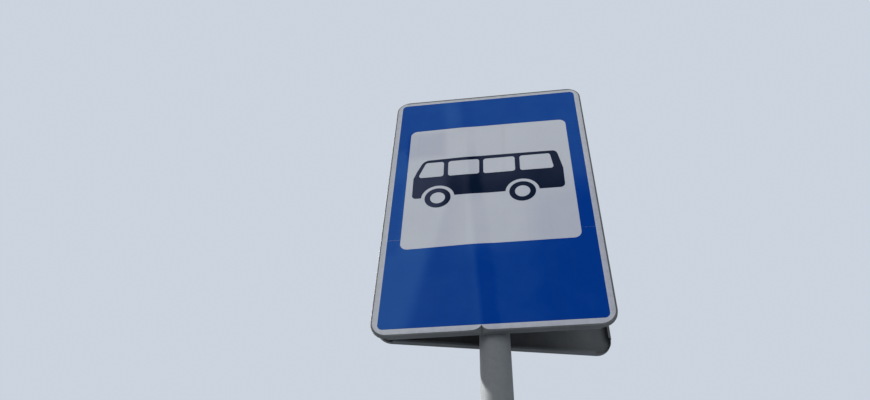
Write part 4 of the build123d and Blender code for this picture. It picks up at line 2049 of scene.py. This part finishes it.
@dataclass
class Bolt:
    """Hexagon bolt with its washer, and the nut that slides in the rail."""

    diameter: float = 8.0
    flats: float = 13.0
    head: float = 5.3
    washer_diameter: float = 16.0
    washer: float = 1.6
    shank: float = 9.5
    nut_length: float = 20.0
    nut_height: float = 35.0
    nut: float = 5.0
    nut_below: float = 4.5
    nut_corner: float = 3.0
    nut_edge: float = 0.5
    cut_from: float = 0.96
    cut_angle: float = 30.0
    edge: float = 0.25
    top_edge: float = 0.1
    top_rings: tuple[Pair, ...] = ((0.94, 0.0), (0.80, 0.0), (0.74, 0.35), (0.02, 0.4))
    washer_edge: float = 0.3
    chamfer: float = 0.6
    tip: float = 0.1
    around: int = 72

    def hexagon(self, share: float = 1.0) -> Array:
        """Outline of the head, as far out as share says."""
        angles = np.linspace(0, 2 * math.pi, self.around, endpoint=False)
        off_flat = np.mod(angles, math.pi / 3) - math.pi / 6
        radius = share * self.flats / 2 / np.cos(off_flat)
        return np.column_stack((radius * np.cos(angles), radius * np.sin(angles)))

    def head_rings(self) -> list[Array]:
        """Rings of the head, its upper corners cut back as on a real one."""
        low, high = self.washer, self.washer + self.head
        side = self.hexagon()
        beyond = np.linalg.norm(side, axis=1) - self.flats / 2 * self.cut_from
        cut = np.maximum(0, beyond) * math.tan(math.radians(self.cut_angle))
        rings = [level(self.hexagon(self.cut_from), low), level(side, low + self.edge)]
        rings.append(level(side, high - self.top_edge - cut))
        for share, sunk in self.top_rings:
            rings.append(level(circle(0, 0, self.flats / 2 * share, self.around), high - sunk))
        return rings

    def template(self) -> Piece:
        """Makes one bolt with its head up and its washer's seat at the origin."""
        shank, washer, worn = self.diameter / 2, self.washer_diameter / 2, self.washer_edge
        profile = [
            (self.tip, -self.shank),
            (shank - self.chamfer, -self.shank),
            (shank, -self.shank + self.chamfer),
            (shank, 0.0),
            (washer - worn, 0.0),
            (washer, worn),
            (washer, self.washer - worn),
            (washer - worn, self.washer),
        ]
        rings = [level(circle(0, 0, radius, self.around), height) for radius, height in profile]
        points, faces = skin(rings + self.head_rings())
        return make_object("bolt template", points, faces)

    def nut_template(self) -> Piece:
        """Makes one nut of the rail, its long side along X."""
        loop = rounded_rectangle(self.nut_length, self.nut_height, self.nut_corner)
        points, faces = prism(loop, -self.nut_below - self.nut, -self.nut_below)
        return bevelled(make_object("nut template", points, faces), self.nut_edge)


@dataclass
class Fasteners(Assembly):
    """The bolts and nuts of all straps."""

    hangs: tuple[Hang, ...]
    tree: NodeTree
    bolt: Bolt = field(default_factory=Bolt)
    bolt_x: float = 56.3
    seat_y: float = -35.3
    seed: int = 5

    def build(self) -> None:
        """Sets a pair of bolts and nuts on each strap."""
        bolt, nut = self.bolt.template(), self.bolt.nut_template()
        zinc = self.paints.materials[Slot.BOLT_ZINC]
        for number, hang in enumerate(self.hangs):
            for end, share in ENDS.items():
                places = Places()
                clamp = hang.clamp_place(share)
                turn = clamp.to_3x3()
                for x in (-self.bolt_x, self.bolt_x):
                    seat = clamp @ Vector((x, self.seat_y, 0))
                    places.add(seat, turn @ Vector((0, 1, 0)), turn @ Vector((1, 0, 0)))
                node = f"{hang.name}_bolts_{end}"
                seed = self.seed + 2 * number + (end == "upper")
                bolts = places.filled(f"{node}_heads", self.tree, bolt, zinc, seed, spin=1.0)
                self.paints.dress(bolts, Slot.BOLT_ZINC, node)
                nuts = places.filled(f"{node}_nuts", self.tree, nut, zinc, seed)
                self.paints.dress(nuts, Slot.BOLT_ZINC, node)
        for template in (bolt, nut):
            bpy.data.objects.remove(template)


# Post and foot


@dataclass
class Post(Assembly):
    """Round steel tube with its cap."""

    radius: float = POST_RADIUS
    wall: float = 3.0
    foot: float = FOOT_THICKNESS
    top: float = 2888.0
    around: int = 144
    rows: int = 24
    bore_rows: int = 4
    edge: float = 0.5
    brim: float = 3.0
    brim_edge: float = 0.4
    brim_top_edge: Pair = (0.5, 0.6)
    dome: float = 6.0
    dome_rings: tuple[float, float, int] = (0.97, 0.12, 14)
    gate_mark: tuple[Pair, ...] = ((3.2, 0.6), (2.8, 0.75), (0.4, 0.75))
    spigot: float = 18.0
    spigot_radius: float = 34.7
    spigot_wall: float = 2.5
    spigot_edge: float = 0.8
    hub: float = 0.4
    cap_sharp: float = 40.0

    def build(self) -> None:
        """Makes the tube and the cap."""
        inner = self.radius - self.wall
        shoulder = self.top - self.edge
        outside = [(self.radius, z) for z in np.linspace(self.foot, shoulder, self.rows)]
        bore = [(inner, z) for z in np.linspace(shoulder, self.foot, self.bore_rows)]
        profile = [*outside, (self.radius - self.edge, self.top), (inner + self.edge, self.top), *bore]
        points, faces = lathe(profile, self.around, loop=True)
        tube = make_object("post_tube", points, faces)
        self.paints.dress(tube, Slot.POST_ZINC, "post")
        self.build_cap()

    def build_cap(self) -> None:
        """Moulds the cap: a domed disc with a spigot in the tube."""
        spigot, worn, brim_worn = self.spigot_radius, self.spigot_edge, self.brim_edge
        bore = spigot - self.spigot_wall
        worn_in, worn_down = self.brim_top_edge
        profile = [(self.hub, 0.0), (bore - worn, 0.0), (bore, -worn), (bore, -self.spigot)]
        profile += [(spigot - worn, -self.spigot), (spigot, -self.spigot + worn)]
        profile += [(spigot, 0.0), (self.radius - brim_worn, 0.0), (self.radius, brim_worn)]
        profile += [(self.radius, self.brim - worn_down), (self.radius - worn_in, self.brim)]
        dome_radius = (self.radius**2 + self.dome**2) / (2 * self.dome)
        for share in np.linspace(*self.dome_rings):
            out = self.radius * share
            drop = dome_radius - math.sqrt(dome_radius**2 - out**2)
            profile.append((out, self.brim + self.dome - drop))
        crown = self.brim + self.dome
        profile += [(radius, crown - sunk) for radius, sunk in self.gate_mark]
        points, faces = lathe([(r, z + self.top) for r, z in profile], self.around)
        cap = make_object("post_end_cap", points, faces, sharp=self.cap_sharp)
        self.paints.dress(cap, Slot.CAP_PLASTIC, "post_cap")


@dataclass
class Foot(Assembly):
    """Foot plate, its ribs and the welds that join them to the post."""

    tree: NodeTree
    width: float = 300.0
    thickness: float = FOOT_THICKNESS
    corner: float = 20.0
    lower_edge: float = 0.6
    upper_edge: float = 1.0
    anchor_from_edge: float = 40.0
    anchor_radius: float = 9.0
    anchor_edge: float = 0.5
    anchor_points: int = 48
    post_radius: float = POST_RADIUS + 0.2
    rib_count: int = 4
    rib_thickness: float = 8.0
    rib_height: float = 120.0
    rib_from_edge: float = 27.0
    rib_toe: float = 12.0
    rib_edge: float = 0.7
    mouse_hole: float = 12.0
    mouse_hole_turn: tuple[float, float, int] = (80.0, 10.0, 8)
    bead_radii: tuple[float, ...] = (0.2, 0.75, 1.0, 0.92, 0.7, 0.38, 0.1)
    bead_rows: tuple[float, ...] = (-1.0, -0.6, 0.0, 0.45, 0.75, 0.95, 1.0)
    bead_points: int = 10
    bead_sharp: float = 80.0
    bead_length: float = 4.6
    bead_half_width: float = 3.4
    bead_height: float = 2.2
    bead_pitch: float = 2.3
    bead_spin: float = 0.15
    bead_sizes: Pair = (0.88, 1.12)
    weld_leg: float = 1.9
    weld_beside_rib: float = 4.5
    weld_sunk: float = 0.7
    weld_start: float = 2.0
    weld_end: float = 1.0
    seed: int = 11

    def build(self) -> None:
        """Makes the foot plate, the ribs and the welds."""
        self.build_plate()
        for index in range(self.rib_count):
            self.build_rib(index)
        self.build_welds()

    def build_plate(self) -> None:
        """Makes the foot plate with its four anchor holes."""
        reach = self.width / 2 - self.anchor_from_edge
        low, high = self.lower_edge, self.upper_edge
        rows = [(0.0, low), (low, 0.0), (self.thickness - high, 0.0), (self.thickness, high)]

        def outer(inset: float) -> Array:
            """Gives the plate's outline, inset."""
            return rounded_rectangle(self.width - 2 * inset, self.width - 2 * inset, self.corner - inset)

        def hole(x: float, y: float) -> OutlineMaker:
            """Gives the maker of one hole's outline."""
            radius, worn = self.anchor_radius, self.anchor_edge
            return lambda inset: circle(x, y, radius + worn * inset, self.anchor_points)

        holes = [hole(x * reach, y * reach) for x in (-1, 1) for y in (-1, 1)]
        points, faces = slab_with_holes(rows, outer, holes)
        plate = make_object("foot_plate", points, faces)
        self.paints.dress(plate, Slot.FOOT_ZINC, "base_plate")

    def rib_outline(self) -> Array:
        """Outline of a rib: out from the axis, and up."""
        low, high = self.thickness, self.thickness + self.rib_height
        root, tip = self.post_radius, self.width / 2 - self.rib_from_edge
        corners = [
            (root + self.mouse_hole, low),
            (tip, low),
            (tip, low + self.rib_toe),
            (root + self.rib_toe, high),
            (root, high),
            (root, low + self.mouse_hole),
        ]
        hole = []
        for angle in np.radians(np.linspace(*self.mouse_hole_turn)):
            across, up = self.mouse_hole * math.cos(angle), self.mouse_hole * math.sin(angle)
            hole.append((root + across, low + up))
        return np.array(corners + hole)

    def build_rib(self, index: int) -> None:
        """Makes one rib.

        Args:
            index: Its number round the post, from 0.
        """
        loop = self.rib_outline()
        half = self.rib_thickness / 2
        points, faces = skin([standing(loop, y) for y in (-half, half)])
        turn = Matrix.Rotation(2 * math.pi * index / self.rib_count, 4, "Z")
        rib = bevelled(make_object(f"foot_rib_{index + 1}", points, faces, turn), self.rib_edge)
        self.paints.dress(rib, Slot.FOOT_ZINC, f"base_gusset_{index + 1}")

    def bead_template(self) -> Piece:
        """Makes one ripple of a weld, half sunk, its X along the weld."""
        points, faces = lathe(list(zip(self.bead_radii, self.bead_rows)), self.bead_points)
        scale = np.array((self.bead_length / 2, self.bead_half_width, self.bead_height))
        return make_object("bead template", points * scale, faces, sharp=self.bead_sharp)

    def weld_places(self) -> Places:
        """Lays the welds' ripples: round the post, up each rib and out along it."""
        places = Places()
        low, radius = self.thickness, self.post_radius
        up, leg = Vector((0, 0, 1)), self.weld_leg
        rib_turn = math.atan((self.rib_thickness / 2 + self.weld_beside_rib) / radius)
        first, tip = self.mouse_hole + self.weld_start, self.width / 2 - self.rib_from_edge
        heights = np.arange(low + first, low + self.rib_height - self.weld_end, self.bead_pitch)
        reaches = np.arange(radius + first, tip - self.weld_end, self.bead_pitch)
        steps = int(2 * math.pi * (radius + leg) / self.bead_pitch)
        for k in range(steps):
            angle = 2 * math.pi * k / steps
            out = Vector((math.cos(angle), math.sin(angle), 0))
            along = Vector((-out.y, out.x, 0))
            places.add(out * (radius + leg) + up * (low + leg), out + up, along)
        for index in range(self.rib_count):
            angle = 2 * math.pi * index / self.rib_count
            out = Vector((math.cos(angle), math.sin(angle), 0))
            for side in (-1, 1):
                across = Vector((-out.y, out.x, 0)) * side
                foot = across * (self.rib_thickness / 2 + leg)
                start = out * (radius * math.cos(rib_turn * self.weld_sunk) + leg)
                for z in heights:
                    places.add(start + foot + up * z, out + across, up)
                for x in reaches:
                    places.add(out * x + foot + up * (low + leg), up + across, out)
        return places

    def build_welds(self) -> None:
        """Sets a ripple on each of the welds' places."""
        template = self.bead_template()
        zinc = self.paints.materials[Slot.FOOT_ZINC]
        welds = self.weld_places().filled(
            "foot_welds", self.tree, template, zinc, self.seed, self.bead_spin, self.bead_sizes
        )
        bpy.data.objects.remove(template)
        soften(welds.data, self.bead_sharp)
        self.paints.dress(welds, Slot.FOOT_ZINC)


def main() -> None:
    """Builds the studio and the sign."""
    logging.basicConfig(level=logging.INFO, format="%(name)s: %(message)s")
    PhotoCamera().build()
    Studio().build()
    paints = Paintbox()
    front = Hang("front", turn=0.0, lean=1.0, shift=5.0, lift=0.0, rail_spread=500.0)
    rear = Hang("rear", turn=192.1, lean=-1.0, shift=-14.5, lift=14.0, rail_spread=380.0)
    shapes = {
        "front": SheetShape(rail_height=front.rail_spread / 2),
        "rear": SheetShape(rail_height=rear.rail_spread / 2, wave_phase=1.3, creased=False),
    }
    for hang in (front, rear):
        SignPlate(paints, hang, shapes[hang.name]).build()
        for end in ENDS:
            Rail(paints, hang, end).build()
            Strap(paints, hang, end).build()
    tree = InstanceTree("set on places").build()
    Fasteners(paints, (front, rear), tree).build()
    Post(paints).build()
    Foot(paints, tree).build()


if __name__ == "__main__":
    main()
